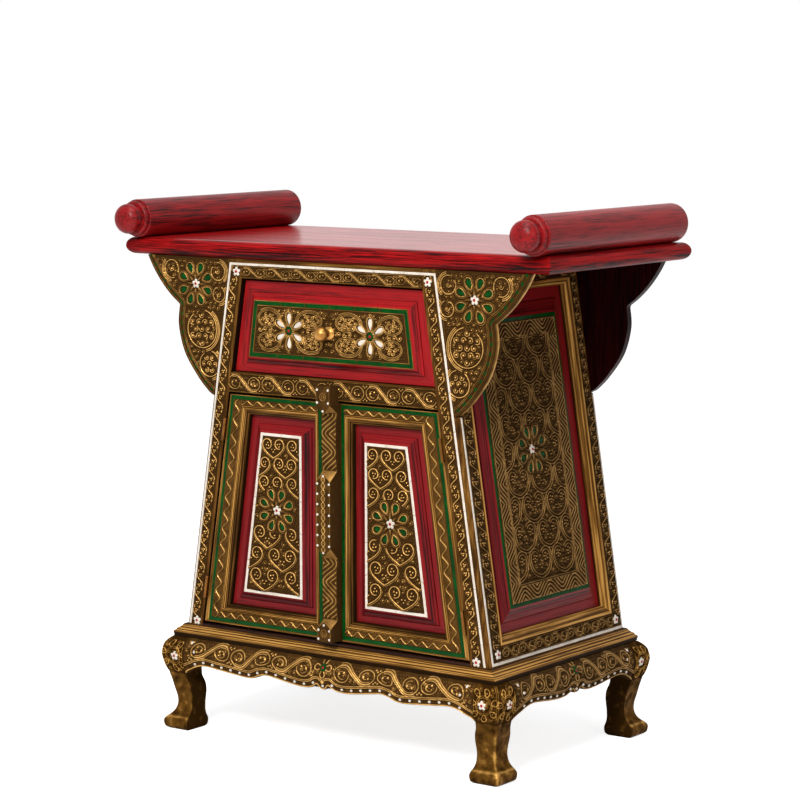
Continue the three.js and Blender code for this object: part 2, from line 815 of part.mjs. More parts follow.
// Lower edge of an apron from its middle to the leg: [distance, height].
const frontScallop = [
  [0, 106.8],
  [6, 108.5],
  [11, 113.8],
  [16, 111],
  [24, 107.3],
  [42, 105.3],
  [70, 108.3],
  [95, 112],
  [113, 114.2],
  [127, 111.7],
  [139, 106.6],
  [152, 104.8],
  [178, 106.6],
  [215, 110.2],
  [243, 112.3],
  [258, 109],
  [270, 103.5],
  [279, 99.5],
  [LEG_INNER - FIT, 94.5],
];
const sideScallop = [
  [0, 106.8],
  [6, 108.5],
  [11, 113.8],
  [16, 111],
  [25, 107],
  [42, 105],
  [70, 107],
  [98, 110.5],
  [122, 112.3],
  [139, 109.5],
  [152, 103.8],
  [161, 99.8],
  [LEG_INNER - (FOOT_X - FOOT_Y) - FIT, 94.5],
];
const apronHeights = [0, 0.25, 0.45, 0.65, 0.82, 0.92, 1]; // shares from lower edge to top

// Ring of an apron at one station: [distance out from the foot line, height].
function apronSection(low) {
  const high = APRON_TOP - FIT;
  const face = apronHeights.map((share) => {
    const z = low + (high - low) * share;
    return [-valueAt(legLine, z), z];
  });
  return [...face, [-APRON_BACK, high], [-APRON_BACK, low]];
}

function makeApron(scallop, footLine, place) {
  const mirrored = scallop.slice(1).map(([u, z]) => [-u, z]).reverse();
  const rings = [...mirrored, ...scallop].map(([u, low]) =>
    apronSection(low).map(([out, z]) => place(u, footLine + out, z)),
  );
  return loft(rings);
}

add('front_apron', makeApron(frontScallop, FOOT_Y, (u, out, z) => [u, -out, z]), giltCarving);
add('rear_apron', makeApron(frontScallop, FOOT_Y, (u, out, z) => [u, out, z]), giltCarving);
add('left_apron', makeApron(sideScallop, FOOT_X, (u, out, z) => [-out, u, z]), giltCarving);
add('right_apron', makeApron(sideScallop, FOOT_X, (u, out, z) => [out, u, z]), giltCarving);

for (const [depthName, depthSign] of [['front', -1], ['rear', 1]]) {
  for (const [sideName, sideSign] of [['left', -1], ['right', 1]]) {
    add(`${depthName}_${sideName}_leg`, makeLeg(sideSign, depthSign), giltCarving);
  }
}

cabinet.position.y = ORIGIN_SHIFT;

export default cabinet;
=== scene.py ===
# %% [markdown]
# # An altar cabinet in red lacquer and gilt carving
#
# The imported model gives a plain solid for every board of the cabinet. This lesson dresses
# those solids: it carves the gilded bands and panels, lays the coloured inlay, shapes the
# mouldings and turned pieces finely, and paints each surface with a node material.
#
# Every surface is worked out with numpy, as a function of two parameters on a grid or as a
# profile carried along a path, and then handed to Blender as whole arrays.

# %% Load the frame
import json
import math
import bpy
import numpy as np
from mathutils import Matrix, Vector


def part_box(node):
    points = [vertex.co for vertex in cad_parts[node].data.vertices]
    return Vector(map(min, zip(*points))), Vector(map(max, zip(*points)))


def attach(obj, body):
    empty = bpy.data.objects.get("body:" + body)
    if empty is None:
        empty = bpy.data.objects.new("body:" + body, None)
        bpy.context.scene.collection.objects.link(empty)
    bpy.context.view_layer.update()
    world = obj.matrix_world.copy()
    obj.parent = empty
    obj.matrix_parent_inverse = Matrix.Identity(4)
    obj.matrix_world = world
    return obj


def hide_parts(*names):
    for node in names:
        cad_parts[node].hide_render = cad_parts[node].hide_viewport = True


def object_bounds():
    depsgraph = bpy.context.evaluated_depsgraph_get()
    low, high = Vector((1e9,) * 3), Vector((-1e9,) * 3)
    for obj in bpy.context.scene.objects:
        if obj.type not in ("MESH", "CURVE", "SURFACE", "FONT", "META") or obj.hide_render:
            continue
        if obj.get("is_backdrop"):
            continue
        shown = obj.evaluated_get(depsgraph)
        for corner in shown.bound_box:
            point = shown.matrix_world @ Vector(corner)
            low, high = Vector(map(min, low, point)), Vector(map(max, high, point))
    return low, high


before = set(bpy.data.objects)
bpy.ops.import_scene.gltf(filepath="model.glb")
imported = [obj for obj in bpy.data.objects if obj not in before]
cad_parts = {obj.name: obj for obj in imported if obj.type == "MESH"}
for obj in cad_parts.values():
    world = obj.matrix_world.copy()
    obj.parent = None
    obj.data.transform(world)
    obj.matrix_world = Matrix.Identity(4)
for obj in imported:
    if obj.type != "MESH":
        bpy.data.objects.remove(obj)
cad_box = [list(corner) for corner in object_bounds()]
print("CAD box in metres:", cad_box)

# %% [markdown]
# ## Measures
#
# All drawing is done in millimetres from the middle of the cupboard, because the cabinet is
# symmetrical about that point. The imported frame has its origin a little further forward,
# so every point is moved by OFFSET on its way into a mesh. The sides lean: `side_at` gives the
# half width of the cupboard at a height, from two widths measured on the frame.

# %% Measures read from the frame
MM = 0.001
board_box = np.array([list(corner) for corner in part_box("top_board")]) / MM
OFFSET = np.array([0, board_box[:, 1].mean(), 0])


def corners(node):
    """Lowest and highest corner of a CAD node, in millimetres from the cupboard's middle."""
    return np.array([list(corner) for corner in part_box(node)]) / MM - OFFSET


def levels(node, key, value, pick):
    """Largest (pick 1) or smallest (pick -1) value of one axis at each level of another."""
    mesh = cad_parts[node].data
    points = np.zeros(len(mesh.vertices) * 3, np.float32)
    mesh.vertices.foreach_get("co", points)
    points = points.reshape(-1, 3) / MM - OFFSET
    keys, place = np.unique(np.round(points[:, key], 1), return_inverse=True)
    best = np.full(len(keys), -np.inf)
    np.maximum.at(best, place.ravel(), pick * points[:, value])
    return keys, pick * best


post_box = corners("front_right_post")
side_rail_box = corners("right_side_top_rail")
BOARD_BOTTOM, BOARD_TOP = board_box[:, 2]
HALF_DEPTH = -post_box[0, 1]
STAND_TOP = post_box[0, 2]
SLOPE = (post_box[1, 0] - side_rail_box[1, 0]) / (side_rail_box[0, 2] - STAND_TOP)
POST_WIDTH = 35
EDGE_BEVEL = 7
WING_FOOT = corners("front_right_wing")[0, 2]


def side_at(z):
    """Half width of the cupboard: the foot's half width less the lean times the height."""
    return post_box[1, 0] - (z - STAND_TOP) * SLOPE


def opening_at(z):
    """Half width of the opening between the posts."""
    return side_at(z) - POST_WIDTH


print("half width at foot and head:", side_at(STAND_TOP), side_at(BOARD_BOTTOM))

# %% [markdown]
# ## Faces to work on
#
# Carving and inlay are drawn flat, as (u, v), and then placed on a face of the cabinet with
# a third number, how proud of that face they stand. One small function per face does this,
# so the same ornament code serves the front, the sloping sides and the doors.

# %% Placing functions
DOOR_SET_BACK = 2.3
SIDES = {"left": -1, "right": 1}


def stacked(*parts):
    """Points from one number or array per axis, stretched to a common shape."""
    return np.stack(np.broadcast_arrays(*parts), -1)


def on_front(u, v, proud):
    """u to the right, v up, proud towards the viewer."""
    return stacked(u, -HALF_DEPTH - proud, v)


def on_side(sign):
    """Right (+1) or left (-1) side: u runs with the depth, and the face leans with v."""
    return lambda u, v, proud: stacked(sign * (side_at(v) + proud), sign * u, v)


def on_door(sign):
    """Right (+1) or left (-1) door: u is the distance from the middle of the cabinet."""
    return lambda u, v, proud: stacked(sign * u, -HALF_DEPTH + DOOR_SET_BACK - proud, v)


def flat(u, v, proud):
    """u and v are the floor's axes, proud is the height."""
    return stacked(u, v, proud)


# %% [markdown]
# ## Closed solids from grids
#
# A Solid keeps its points, its four-sided faces and its triangles, and two values per point
# for the finishes: `relief`, which is 0 in the depths of the carving and 1 on its crests,
# and `grain`, a position measured along and across the wood, so that streaks follow each
# moulding round its corners. On some mouldings the relief also carries painted shade and
# painted light. A closed solid whose signed volume is negative is inside out, so its faces
# are turned.

# %% Solid
AXES = {"x": [0, 1, 2], "y": [1, 0, 2], "z": [2, 0, 1]}


class Solid:
    """Points, quads and triangles of closed surfaces, with relief and grain per point."""

    def __init__(self, points, quads, triangles=(), relief=0.5, grain="x"):
        self.points = np.asarray(points, float).reshape(-1, 3)
        self.quads = np.asarray(quads, int).reshape(-1, 4)
        self.triangles = np.asarray(triangles, int).reshape(-1, 3)
        self.relief = np.broadcast_to(relief, len(self.points)).astype(float)
        if isinstance(grain, str):
            grain = self.points[:, AXES[grain]]
        self.grain = np.asarray(grain, float).reshape(-1, 3)
        if self.volume() < 0:
            self.quads = self.quads[:, ::-1]
            self.triangles = self.triangles[:, ::-1]

    def volume(self):
        """Six times the signed volume: the sum of the triple products of all triangles."""
        tris = [self.quads[:, [0, 1, 2]], self.quads[:, [0, 2, 3]], self.triangles]
        a, b, c = np.moveaxis(self.points[np.concatenate(tris)], 1, 0)
        return np.einsum("ij,ij->", a, np.cross(b, c))


def joined(solids):
    """One Solid that holds several, side by side."""
    whole = Solid(np.zeros((0, 3)), [])
    starts = np.cumsum([0] + [len(s.points) for s in solids])
    whole.points = np.concatenate([s.points for s in solids])
    whole.relief = np.concatenate([s.relief for s in solids])
    whole.grain = np.concatenate([s.grain for s in solids])
    whole.quads = np.concatenate([s.quads + n for s, n in zip(solids, starts)])
    whole.triangles = np.concatenate([s.triangles + n for s, n in zip(solids, starts)])
    return whole


def grid_quads(rows, columns, around=False):
    """Quads between neighbours of a grid stored row by row; around closes each row."""
    r, c = np.meshgrid(np.arange(rows - 1), np.arange(columns - (not around)), indexing="ij")
    right = (c + 1) % columns
    quads = [r * columns + c, r * columns + right, (r + 1) * columns + right, (r + 1) * columns + c]
    return np.stack(quads, -1).reshape(-1, 4)


def loft(rings, relief=0.5, grain="x"):
    """Solid through rings of an even number of points; each end is a ladder of quads."""
    rows, count = rings.shape[:2]
    k = np.arange(count // 2 - 1)
    ladder = stacked(k, k + 1, count - 2 - k, count - 1 - k)
    ends = [ladder[:, ::-1], ladder + (rows - 1) * count]
    quads = np.concatenate([grid_quads(rows, count, around=True), *ends])
    return Solid(rings, quads, relief=relief, grain=grain)


def backed_sheet(front, low_rail, high_rail, relief=0.5, grain="x", rail_relief=0.3):
    """A front grid closed behind: walls go back to one rail per side, and the ends are fans."""
    rows, columns = front.shape[:2]
    low = rows * columns + np.arange(rows)
    high = low + rows
    first = np.arange(rows) * columns
    last = first + columns - 1
    walls = [
        stacked(first[:-1], first[1:], low[1:], low[:-1]),
        stacked(last[1:], last[:-1], high[:-1], high[1:]),
        stacked(low[:-1], low[1:], high[1:], high[:-1]),
    ]
    i = np.arange(columns - 1)
    half = columns // 2
    near = np.where(i < half, low[0], high[0])
    far = np.where(i < half, low[-1], high[-1])
    end = (rows - 1) * columns
    triangles = np.concatenate([
        stacked(i + 1, i, near),
        stacked(end + i, end + i + 1, far),
        [[half, low[0], high[0]], [end + half, high[-1], low[-1]]],
    ])
    points = np.concatenate([front.reshape(-1, 3), low_rail, high_rail])
    front_relief = np.broadcast_to(relief, (rows, columns)).ravel()
    both = np.concatenate([front_relief, np.full(2 * rows, rail_relief)])
    quads = np.concatenate([grid_quads(rows, columns), *walls])
    return Solid(points, quads, triangles, relief=both, grain=grain)


# %% From a Solid to a Blender object
def make_piece(name, solid, material, body="root", stands_for=(), sharp=35):
    """Puts a Solid into a mesh, finishes it, and sets it to ride on its body."""
    mesh = bpy.data.meshes.new(name)
    corner_list = np.concatenate([solid.quads.ravel(), solid.triangles.ravel()])
    quad_starts = np.arange(len(solid.quads)) * 4
    tri_starts = len(solid.quads) * 4 + np.arange(len(solid.triangles)) * 3
    starts = np.concatenate([quad_starts, tri_starts])
    mesh.vertices.add(len(solid.points))
    mesh.vertices.foreach_set("co", ((solid.points + OFFSET) * MM).ravel().astype(np.float32))
    mesh.loops.add(len(corner_list))
    mesh.loops.foreach_set("vertex_index", corner_list.astype(np.int32))
    mesh.polygons.add(len(starts))
    mesh.polygons.foreach_set("loop_start", starts.astype(np.int32))
    mesh.update(calc_edges=True)
    relief = mesh.attributes.new("relief", "FLOAT", "POINT")
    relief.data.foreach_set("value", solid.relief.astype(np.float32))
    grain = mesh.attributes.new("grain", "FLOAT_VECTOR", "POINT")
    grain.data.foreach_set("vector", (solid.grain * MM).ravel().astype(np.float32))
    mesh.shade_smooth()
    mesh.set_sharp_from_angle(angle=math.radians(sharp))
    mesh.materials.append(material)
    piece = bpy.data.objects.new(name, mesh)
    bpy.context.scene.collection.objects.link(piece)
    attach(piece, body)
    if stands_for:
        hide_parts(*stands_for)
    print(f"{name}: {2 * len(solid.quads) + len(solid.triangles)} triangles on {body}")
    return piece


# %% [markdown]
# ## Finishes
#
# Shader sums are written as Python expressions. `Value` wraps one output of a node, and
# arithmetic on it adds Math nodes; `Finish.node` makes any other node.

# %% Shader helpers
class Value:
    """A number in a material: Python arithmetic on it adds Math nodes."""

    def __init__(self, finish, socket):
        self.finish = finish
        self.socket = socket

    def __add__(self, other):
        return self.finish.calculate("ADD", self, other)

    def __sub__(self, other):
        return self.finish.calculate("SUBTRACT", self, other)

    def __rsub__(self, other):
        return self.finish.calculate("SUBTRACT", other, self)

    def __mul__(self, other):
        return self.finish.calculate("MULTIPLY", self, other)

    __radd__ = __add__
    __rmul__ = __mul__


class Finish:
    """One node material, or the nodes of the world, under construction."""

    def __init__(self, name, world=False):
        self.material = (bpy.data.worlds if world else bpy.data.materials).new(name)
        self.material.use_nodes = True
        self.tree = self.material.node_tree
        self.shader = self.tree.nodes["Background" if world else "Principled BSDF"]

    def plug(self, socket, value):
        if isinstance(value, Value):
            self.tree.links.new(value.socket, socket)
        else:
            socket.default_value = value

    def node(self, kind, settings=None, inputs=None, stops=None, output=0):
        """Adds a node: its settings, then its ramp's stops, then its inputs."""
        node = self.tree.nodes.new(kind)
        for key, value in (settings or {}).items():
            setattr(node, key, value)
        if stops:
            ramp = node.color_ramp
            for position, colour in stops[len(ramp.elements):]:
                ramp.elements.new(position)
            for element, (position, colour) in zip(ramp.elements, stops):
                element.position = position
                element.color = (*colour, 1)
        for key, value in (inputs or {}).items():
            self.plug(node.inputs[key], value)
        return Value(self, node.outputs[output])

    def calculate(self, operation, first, second=0.0):
        return self.node("ShaderNodeMath", {"operation": operation}, {0: first, 1: second})

    def clamp(self, value):
        return self.node("ShaderNodeClamp", inputs={"Value": value})

    def position(self):
        return self.node("ShaderNodeTexCoord", output=3)

    def axis(self, number):
        """The object's own x, y or z, in metres."""
        return self.node("ShaderNodeSeparateXYZ", inputs={0: self.position()}, output=number)

    def noise(self, vector, scale, detail=3.0, roughness=0.5):
        inputs = {"Vector": vector, "Scale": scale, "Detail": detail, "Roughness": roughness}
        return self.node("ShaderNodeTexNoise", inputs=inputs)

    def stretched(self, vector, scale):
        return self.node("ShaderNodeMapping", inputs={"Vector": vector, "Scale": scale})

    def attribute(self, name, output):
        return self.node("ShaderNodeAttribute", {"attribute_name": name}, output=output)

    def mix(self, factor, first, second):
        inputs = {0: factor, 6: first, 7: second}
        return self.node("ShaderNodeMix", {"data_type": "RGBA"}, inputs, output=2)

    def ramp(self, tone, stops):
        """Colour by tone, between stops of (tone, linear colour)."""
        return self.node("ShaderNodeValToRGB", inputs={"Fac": tone}, stops=stops)

    def set(self, **inputs):
        """Sets or links the main shader's inputs, with _ for a space in a name."""
        for key, value in inputs.items():
            self.plug(self.shader.inputs[key.replace("_", " ")], value)

    def bump(self, height, distance, strength=1.0):
        inputs = {"Height": height, "Distance": distance, "Strength": strength}
        self.set(Normal=self.node("ShaderNodeBump", inputs=inputs))


def linear(red, green, blue):
    """Linear colour from the 0 to 255 values that a picture viewer shows."""
    values = np.array([red, green, blue]) / 255
    low = values / 12.92
    high = ((values + 0.055) / 1.055) ** 2.4
    return tuple(float(c) for c in np.where(values <= 0.04045, low, high))


def rgba(*colour):
    """The same, with an alpha of 1, as a node's input wants it."""
    return (*linear(*colour), 1)


# %% [markdown]
# ### Gilt carving
#
# The carving was painted dark, gilded, and rubbed: the recesses are almost black brown, the
# flanks old gold and the crests bright. The `relief` value of each point drives this, with
# a little noise so that the rubbing is uneven.


# %% Gilt carving
def gilt_carving(name, recess, flank, crest, shine, mottle, patch_scale=70.0):
    """Tone is the relief with broad patches and fine specks of wear added."""
    finish = Finish(name)
    position = finish.position()
    relief = finish.attribute("relief", 2)
    patches = finish.noise(position, patch_scale, 2.0)
    specks = finish.noise(position, 620.0, 2.0)
    tone = finish.clamp(relief * 0.95 + (patches - 0.5) * mottle + (specks - 0.5) * 0.24)
    colours = (linear(*recess), linear(*recess), linear(*flank), linear(*crest))
    colour = finish.ramp(tone, list(zip((0.0, 0.08, 0.46, 0.98), colours)))
    finish.set(Base_Color=colour, Metallic=tone * shine, Roughness=0.42 - tone * 0.14)
    finish.set(Specular_IOR_Level=0.0)
    finish.bump(specks, 0.0004, 0.6)
    return finish.material


gilt = gilt_carving("gilt_carving", (60, 40, 18), (104, 73, 33), (220, 171, 98), 0.6, 0.55)
dull_gilt = gilt_carving("dull_gilt_carving", (52, 36, 18), (90, 65, 35), (170, 131, 78), 0.4, 0.5)
leg_gilt = gilt_carving("gilt_legs", (48, 30, 9), (98, 66, 24), (206, 156, 80), 0.5, 1.1, 75.0)


# %% Streaky finishes
def grain_position(finish, axis, along, across):
    """Position stretched along the grain: the piece's own grain, or an axis of a CAD node."""
    if axis == "own":
        return finish.stretched(finish.attribute("grain", 1), (along, across, across))
    scale = [along if axis == letter else across for letter in "xyz"]
    return finish.stretched(finish.position(), scale)


def painted_reveal_shade(finish):
    """1 where a post lines an opening, behind its front face, and 0 elsewhere.

    The inner half of a post is where |x| + height * SLOPE is less than at its middle.
    There the gilt is painted near black, as painted shade in the opening.
    """
    x, y, z = (finish.axis(number) for number in range(3))
    middle = float(side_at(0) - POST_WIDTH / 2) * MM
    inner = finish.calculate("LESS_THAN", finish.calculate("ABSOLUTE", x) + z * float(SLOPE), middle)
    depth = finish.calculate("ABSOLUTE", y - float(OFFSET[1] * MM))
    return inner * finish.calculate("LESS_THAN", depth, float(HALF_DEPTH - 0.4) * MM)


def gilt_moulding(name, axis="own", shade_reveals=False, metallic=0.3):
    """Gold brushed over a dark ground along the moulding, so that dark streaks show."""
    finish = Finish(name)
    streaks = finish.noise(grain_position(finish, axis, 9, 260), 1.0, 4.0, 0.6)
    broad = finish.noise(grain_position(finish, axis, 5, 40), 1.0, 2.0)
    # The relief: wear on the profile, and painted shade on the deep steps of the door frames.
    worn = (finish.attribute("relief", 2) - 0.5) * 1.5 if axis == "own" else 0.0
    tone = finish.clamp((streaks - 0.5) * 1.7 + (broad - 0.5) * 0.8 + worn + 0.45)
    golds = (linear(34, 20, 6), linear(74, 46, 15), linear(116, 79, 33), linear(186, 138, 70))
    colour = finish.ramp(tone, list(zip((0.0, 0.35, 0.7, 1.0), golds)))
    # The inner faces of a post, where it lines an opening, are painted near black: painted shade.
    if shade_reveals:
        colour = finish.mix(painted_reveal_shade(finish), colour, rgba(24, 12, 8))
    finish.set(Base_Color=colour, Metallic=metallic, Roughness=0.5 - tone * 0.14)
    finish.set(Specular_IOR_Level=0.03)
    finish.bump(streaks, 0.0006, 0.5)
    return finish.material


def red_lacquer(name, axis="own", base=(140, 17, 20), dark=(34, 5, 6), wear=0.04, streak=1.0,
                gloss=0.06, polished_top=0.0):
    """Crimson lacquer over open grain: fine dark streaks and darker clouds.

    A polished top gives the upper face of the top board a clear coat of that weight.
    """
    finish = Finish(name)
    fine = finish.noise(grain_position(finish, axis, 14, 420), 1.0, 5.0, 0.66)
    broad = finish.noise(grain_position(finish, axis, 4, 46), 1.0, 3.0)
    pores = finish.noise(grain_position(finish, axis, 26, 900), 1.0, 2.0)
    # The relief: wear on the profile, and on the climbing mouldings painted shade and painted side light.
    edges = (finish.attribute("relief", 2) - 0.5) * 1.4 if axis == "own" else 0.0
    streaks = (fine - 0.5) * (3.6 * streak) + (broad - 0.5) * (1.6 * streak)
    tone = finish.clamp(streaks + edges + (0.68 - wear))
    base, dark = np.array(linear(*base)), np.array(linear(*dark))
    reds = (dark, 0.45 * base + 0.55 * dark, base, 1.28 * base)
    colour = finish.ramp(tone, list(zip((0.0, 0.3, 0.62, 1.0), reds)))
    finish.set(Base_Color=colour, Roughness=0.42 - tone * 0.1, Specular_IOR_Level=gloss)
    finish.set(Coat_Weight=gloss / 4, Coat_Roughness=0.2)
    if polished_top:
        upper = finish.clamp((finish.axis(2) - float(BOARD_TOP - 2) * MM) * 700.0)
        finish.set(Coat_Weight=upper * polished_top)
    finish.bump(pores + fine, 0.0004, 0.35)
    return finish.material


gold_trim = gilt_moulding("streaky_gilt")
gold_upright = gilt_moulding("streaky_gilt_upright", "z", shade_reveals=True, metallic=0.0)
gold_across = gilt_moulding("streaky_gilt_across", "x")
gold_deep = gilt_moulding("streaky_gilt_deep", "y")
lacquer = red_lacquer("red_lacquer", base=(134, 17, 20), gloss=0.12)
top_lacquer = red_lacquer("red_lacquer_top", base=(146, 16, 18), gloss=0.05, polished_top=0.55)
scroll_lacquer = red_lacquer("red_lacquer_scrolls", base=(122, 15, 18), gloss=0.14)
panel_lacquer = red_lacquer("red_lacquer_panels", base=(116, 18, 21), dark=(28, 4, 5), streak=0.5,
                            gloss=0.1)
# Near-black lacquer: the colour of the back of the front wings, and painted shade on the rear wings.
dark_lacquer = red_lacquer("dark_lacquer", base=(42, 5, 7), dark=(12, 2, 3), wear=0.05)
dark_across = red_lacquer("dark_lacquer_across", "x", base=(52, 9, 10), dark=(18, 4, 5))
sill_brown = red_lacquer("sill_brown", "x", base=(44, 22, 13), dark=(14, 6, 4))


# %% [markdown]
# ### Inlay, brass and bare wood
#
# The inlay is cut from coloured glass-like strips, glossy and slightly uneven in tone. The
# knob and hinges are lacquered brass. The inside of the drawer and the floor boards are
# plain wood.

# %% Inlay, brass and wood
def enamel(name, light, dark, roughness):
    """Cut inlay: clouds and specks between a light and a dark tone."""
    finish = Finish(name)
    patches = finish.noise(finish.position(), 55.0, 3.0)
    specks = finish.noise(finish.position(), 520.0, 2.0)
    tone = finish.clamp((patches - 0.5) * 2.0 + (specks - 0.5) * 0.9 + 0.55)
    finish.set(Base_Color=finish.mix(tone, rgba(*dark), rgba(*light)), Roughness=roughness)
    finish.set(Specular_IOR_Level=0.05)
    finish.bump(specks, 0.0003, 0.25)
    return finish.material


def brass_finish(name, tarnish, light=(232, 190, 112), dark=(132, 86, 36)):
    """Polished metal: more tarnish gives more of the dark tone and a rougher surface."""
    finish = Finish(name)
    patches = finish.noise(finish.position(), 70.0, 3.0)
    scratches = finish.noise(finish.position(), 900.0, 2.0)
    tone = finish.clamp((patches - 0.5) * 1.6 + (scratches - 0.5) * 0.6 + tarnish)
    colour = finish.mix(tone, rgba(*light), rgba(*dark))
    finish.set(Base_Color=colour, Metallic=0.95, Roughness=0.2 + tone * 0.24)
    finish.bump(scratches, 0.0002, 0.2)
    return finish.material


def wood(name, axis, light=(158, 116, 76), dark=(104, 70, 42)):
    """Bare wood: soft rings and fine pores, both stretched along the axis."""
    finish = Finish(name)
    rings = finish.noise(grain_position(finish, axis, 3, 70), 1.0, 4.0)
    pores = finish.noise(grain_position(finish, axis, 12, 700), 1.0, 2.0)
    tone = finish.clamp((rings - 0.5) * 2.2 + (pores - 0.5) * 1.0 + 0.5)
    finish.set(Base_Color=finish.mix(tone, rgba(*dark), rgba(*light)), Roughness=0.62 + tone * 0.12)
    finish.bump(pores, 0.0005, 0.4)
    return finish.material


green_inlay = enamel("green_inlay", (6, 72, 20), (4, 42, 12), 0.22)
white_inlay = enamel("white_inlay", (228, 220, 208), (200, 187, 172), 0.3)
red_inlay = enamel("red_inlay", (176, 34, 44), (120, 18, 26), 0.3)
brass = brass_finish("polished_brass", 0.6, (218, 168, 92), (124, 76, 30))
old_brass = brass_finish("worn_brass", 0.5, (134, 88, 38), (82, 50, 20))
plain_wood = wood("plain_wood", "y")
cross_wood = wood("plain_wood_across", "x")
screw_steel = brass_finish("screw_steel", 0.5)
SLOTS = {
    "gilt_carving": (gilt, dull_gilt, leg_gilt, white_inlay, green_inlay),
    "gilt_moulding": (gold_trim,),
    "red_lacquer": (lacquer, top_lacquer, scroll_lacquer, panel_lacquer, red_inlay),
    "dark_lacquer": (dark_lacquer,),
    "brass": (brass,),
}
slot_of = {material: slot for slot, materials in SLOTS.items() for material in materials}
print("finishes:", len(bpy.data.materials))

# %% [markdown]
# ## Frames, tiles and pebbles
#
# Three kinds of small solid make most of the trim. A mitred frame carries a moulding
# profile round four sides, as a joiner does, with each side its own piece of wood. Tiles
# are the cut strips of inlay, with a thin joint between them. Pebbles are domed shapes of
# any outline: petals, dots and small flowers.


# %% Trim helpers
def between(outer, inner, share):
    """The outline a share of the way from one outline to another, corner by corner."""
    return np.asarray(outer) * (1 - share) + np.asarray(inner) * share


def run_of(path):
    """Length along a path, up to each of its points."""
    return np.concatenate([[0], np.cumsum(np.linalg.norm(np.diff(path, axis=0), axis=1))])


def wear(prouds):
    """Relief of a profile: above 0.5 where it stands out from its neighbours, below in grooves."""
    before, after = np.roll(prouds, 1), np.roll(prouds, -1)
    before[0], after[-1] = prouds[0], prouds[-1]
    return np.clip(0.5 + 0.8 * (prouds - (before + after) / 2), 0.1, 0.9)


def mitred_frame(face, prouds, rear, rear_prouds, place, relief=None, painted_side_light=(0, 0, 0, 0)):
    """Four mitred members: a profile of face points and rear points on nested outlines.

    The painted side light is added to the relief of the lower, right, upper and left
    member: painted light and shade, so an upper member renders lighter and a lower one
    darker. Each member has its own stretch of grain, so the streaks break off at the mitres.
    """
    face, rear = np.asarray(face, float), np.asarray(rear, float)
    prouds = np.asarray(prouds, float)
    worn = wear(prouds) if relief is None else relief
    relief = np.tile(np.concatenate([worn, np.full(len(rear), 0.5)]), 2)
    rear_prouds = np.broadcast_to(rear_prouds, len(rear))
    solids = []
    for side in range(4):
        rings = []
        for corner in (side, (side + 1) % 4):
            front = place(face[:, corner, 0], face[:, corner, 1], prouds)
            back = place(rear[:, corner, 0], rear[:, corner, 1], rear_prouds)
            rings.append(np.concatenate([front, back[::-1]]))
        rings = np.array(rings)
        length = np.linalg.norm(rings[1, 0] - rings[0, 0])
        along = np.array([0, length])[:, None] + 1000 * side
        grain = stacked(along, run_of(rings[0])[None], 37.0 * side)
        solids.append(loft(rings, np.clip(relief + painted_side_light[side], 0, 1), grain))
    return joined(solids)


def moulding(outer, inner, profile, back, place, shade=0.0, painted_side_light=(0, 0, 0, 0)):
    """Mitred frame whose profile is (share from outer to inner, proud), flat behind."""
    outlines = [between(outer, inner, share) for share, _ in profile]
    prouds = np.array([proud for _, proud in profile], float)
    # Shade lowers the relief as painted shade; painted side light raises the upper member and lowers the
    # others.
    return mitred_frame(outlines, prouds, outlines, back, place, wear(prouds) - shade, painted_side_light)


def slab(outline, low, high, place, grain="x"):
    """Flat board with a four-cornered outline."""
    outline = np.asarray(outline, float)
    rings = [place(outline[:, 0], outline[:, 1], proud) for proud in (low, high)]
    return loft(np.array(rings), grain=grain)


def cut_strip(a, b, c, d, pitch, joint=0.5):
    """Quads along the strip between edge a-b and edge d-c, about one pitch long each."""
    a, b, c, d = (np.asarray(p, float) for p in (a, b, c, d))
    length = np.linalg.norm(b - a)
    cuts = np.linspace(0, 1, max(1, round(length / pitch)) + 1)
    start = (cuts[:-1] + joint / length / 2 * (cuts[:-1] > 0))[:, None]
    end = (cuts[1:] - joint / length / 2 * (cuts[1:] < 1))[:, None]
    return np.stack([a + (b - a) * start, a + (b - a) * end, d + (c - d) * end, d + (c - d) * start], 1)


def cut_ring(outer, inner, pitch):
    """Quads of inlay round a four-sided band."""
    sides = [(outer[k], outer[(k + 1) % 4], inner[(k + 1) % 4], inner[k]) for k in range(4)]
    return np.concatenate([cut_strip(*side, pitch) for side in sides])


def tiles(quads, rise, place, sunk=0.6, bevel=0.4):
    """Bevelled tiles: a foot below the face, a shoulder, and a top drawn in by the bevel."""
    after = np.roll(quads, -1, axis=1) - quads
    before = np.roll(quads, 1, axis=1) - quads
    inward = sum(e / np.linalg.norm(e, axis=-1, keepdims=True) for e in (after, before))
    flats = np.stack([quads, quads, quads + inward * bevel], 1)
    prouds = np.array([-sunk, rise - bevel, rise])[None, :, None]
    points = place(flats[..., 0], flats[..., 1], prouds).reshape(-1, 3)
    one = np.concatenate([grid_quads(3, 4, around=True), [[3, 2, 1, 0], [8, 9, 10, 11]]])
    faces = one[None] + 12 * np.arange(len(quads))[:, None, None]
    return Solid(points, faces)


PEBBLE_RINGS = np.array([[1, -0.6], [1, 0.35], [0.86, 0.75], [0.55, 0.95]])


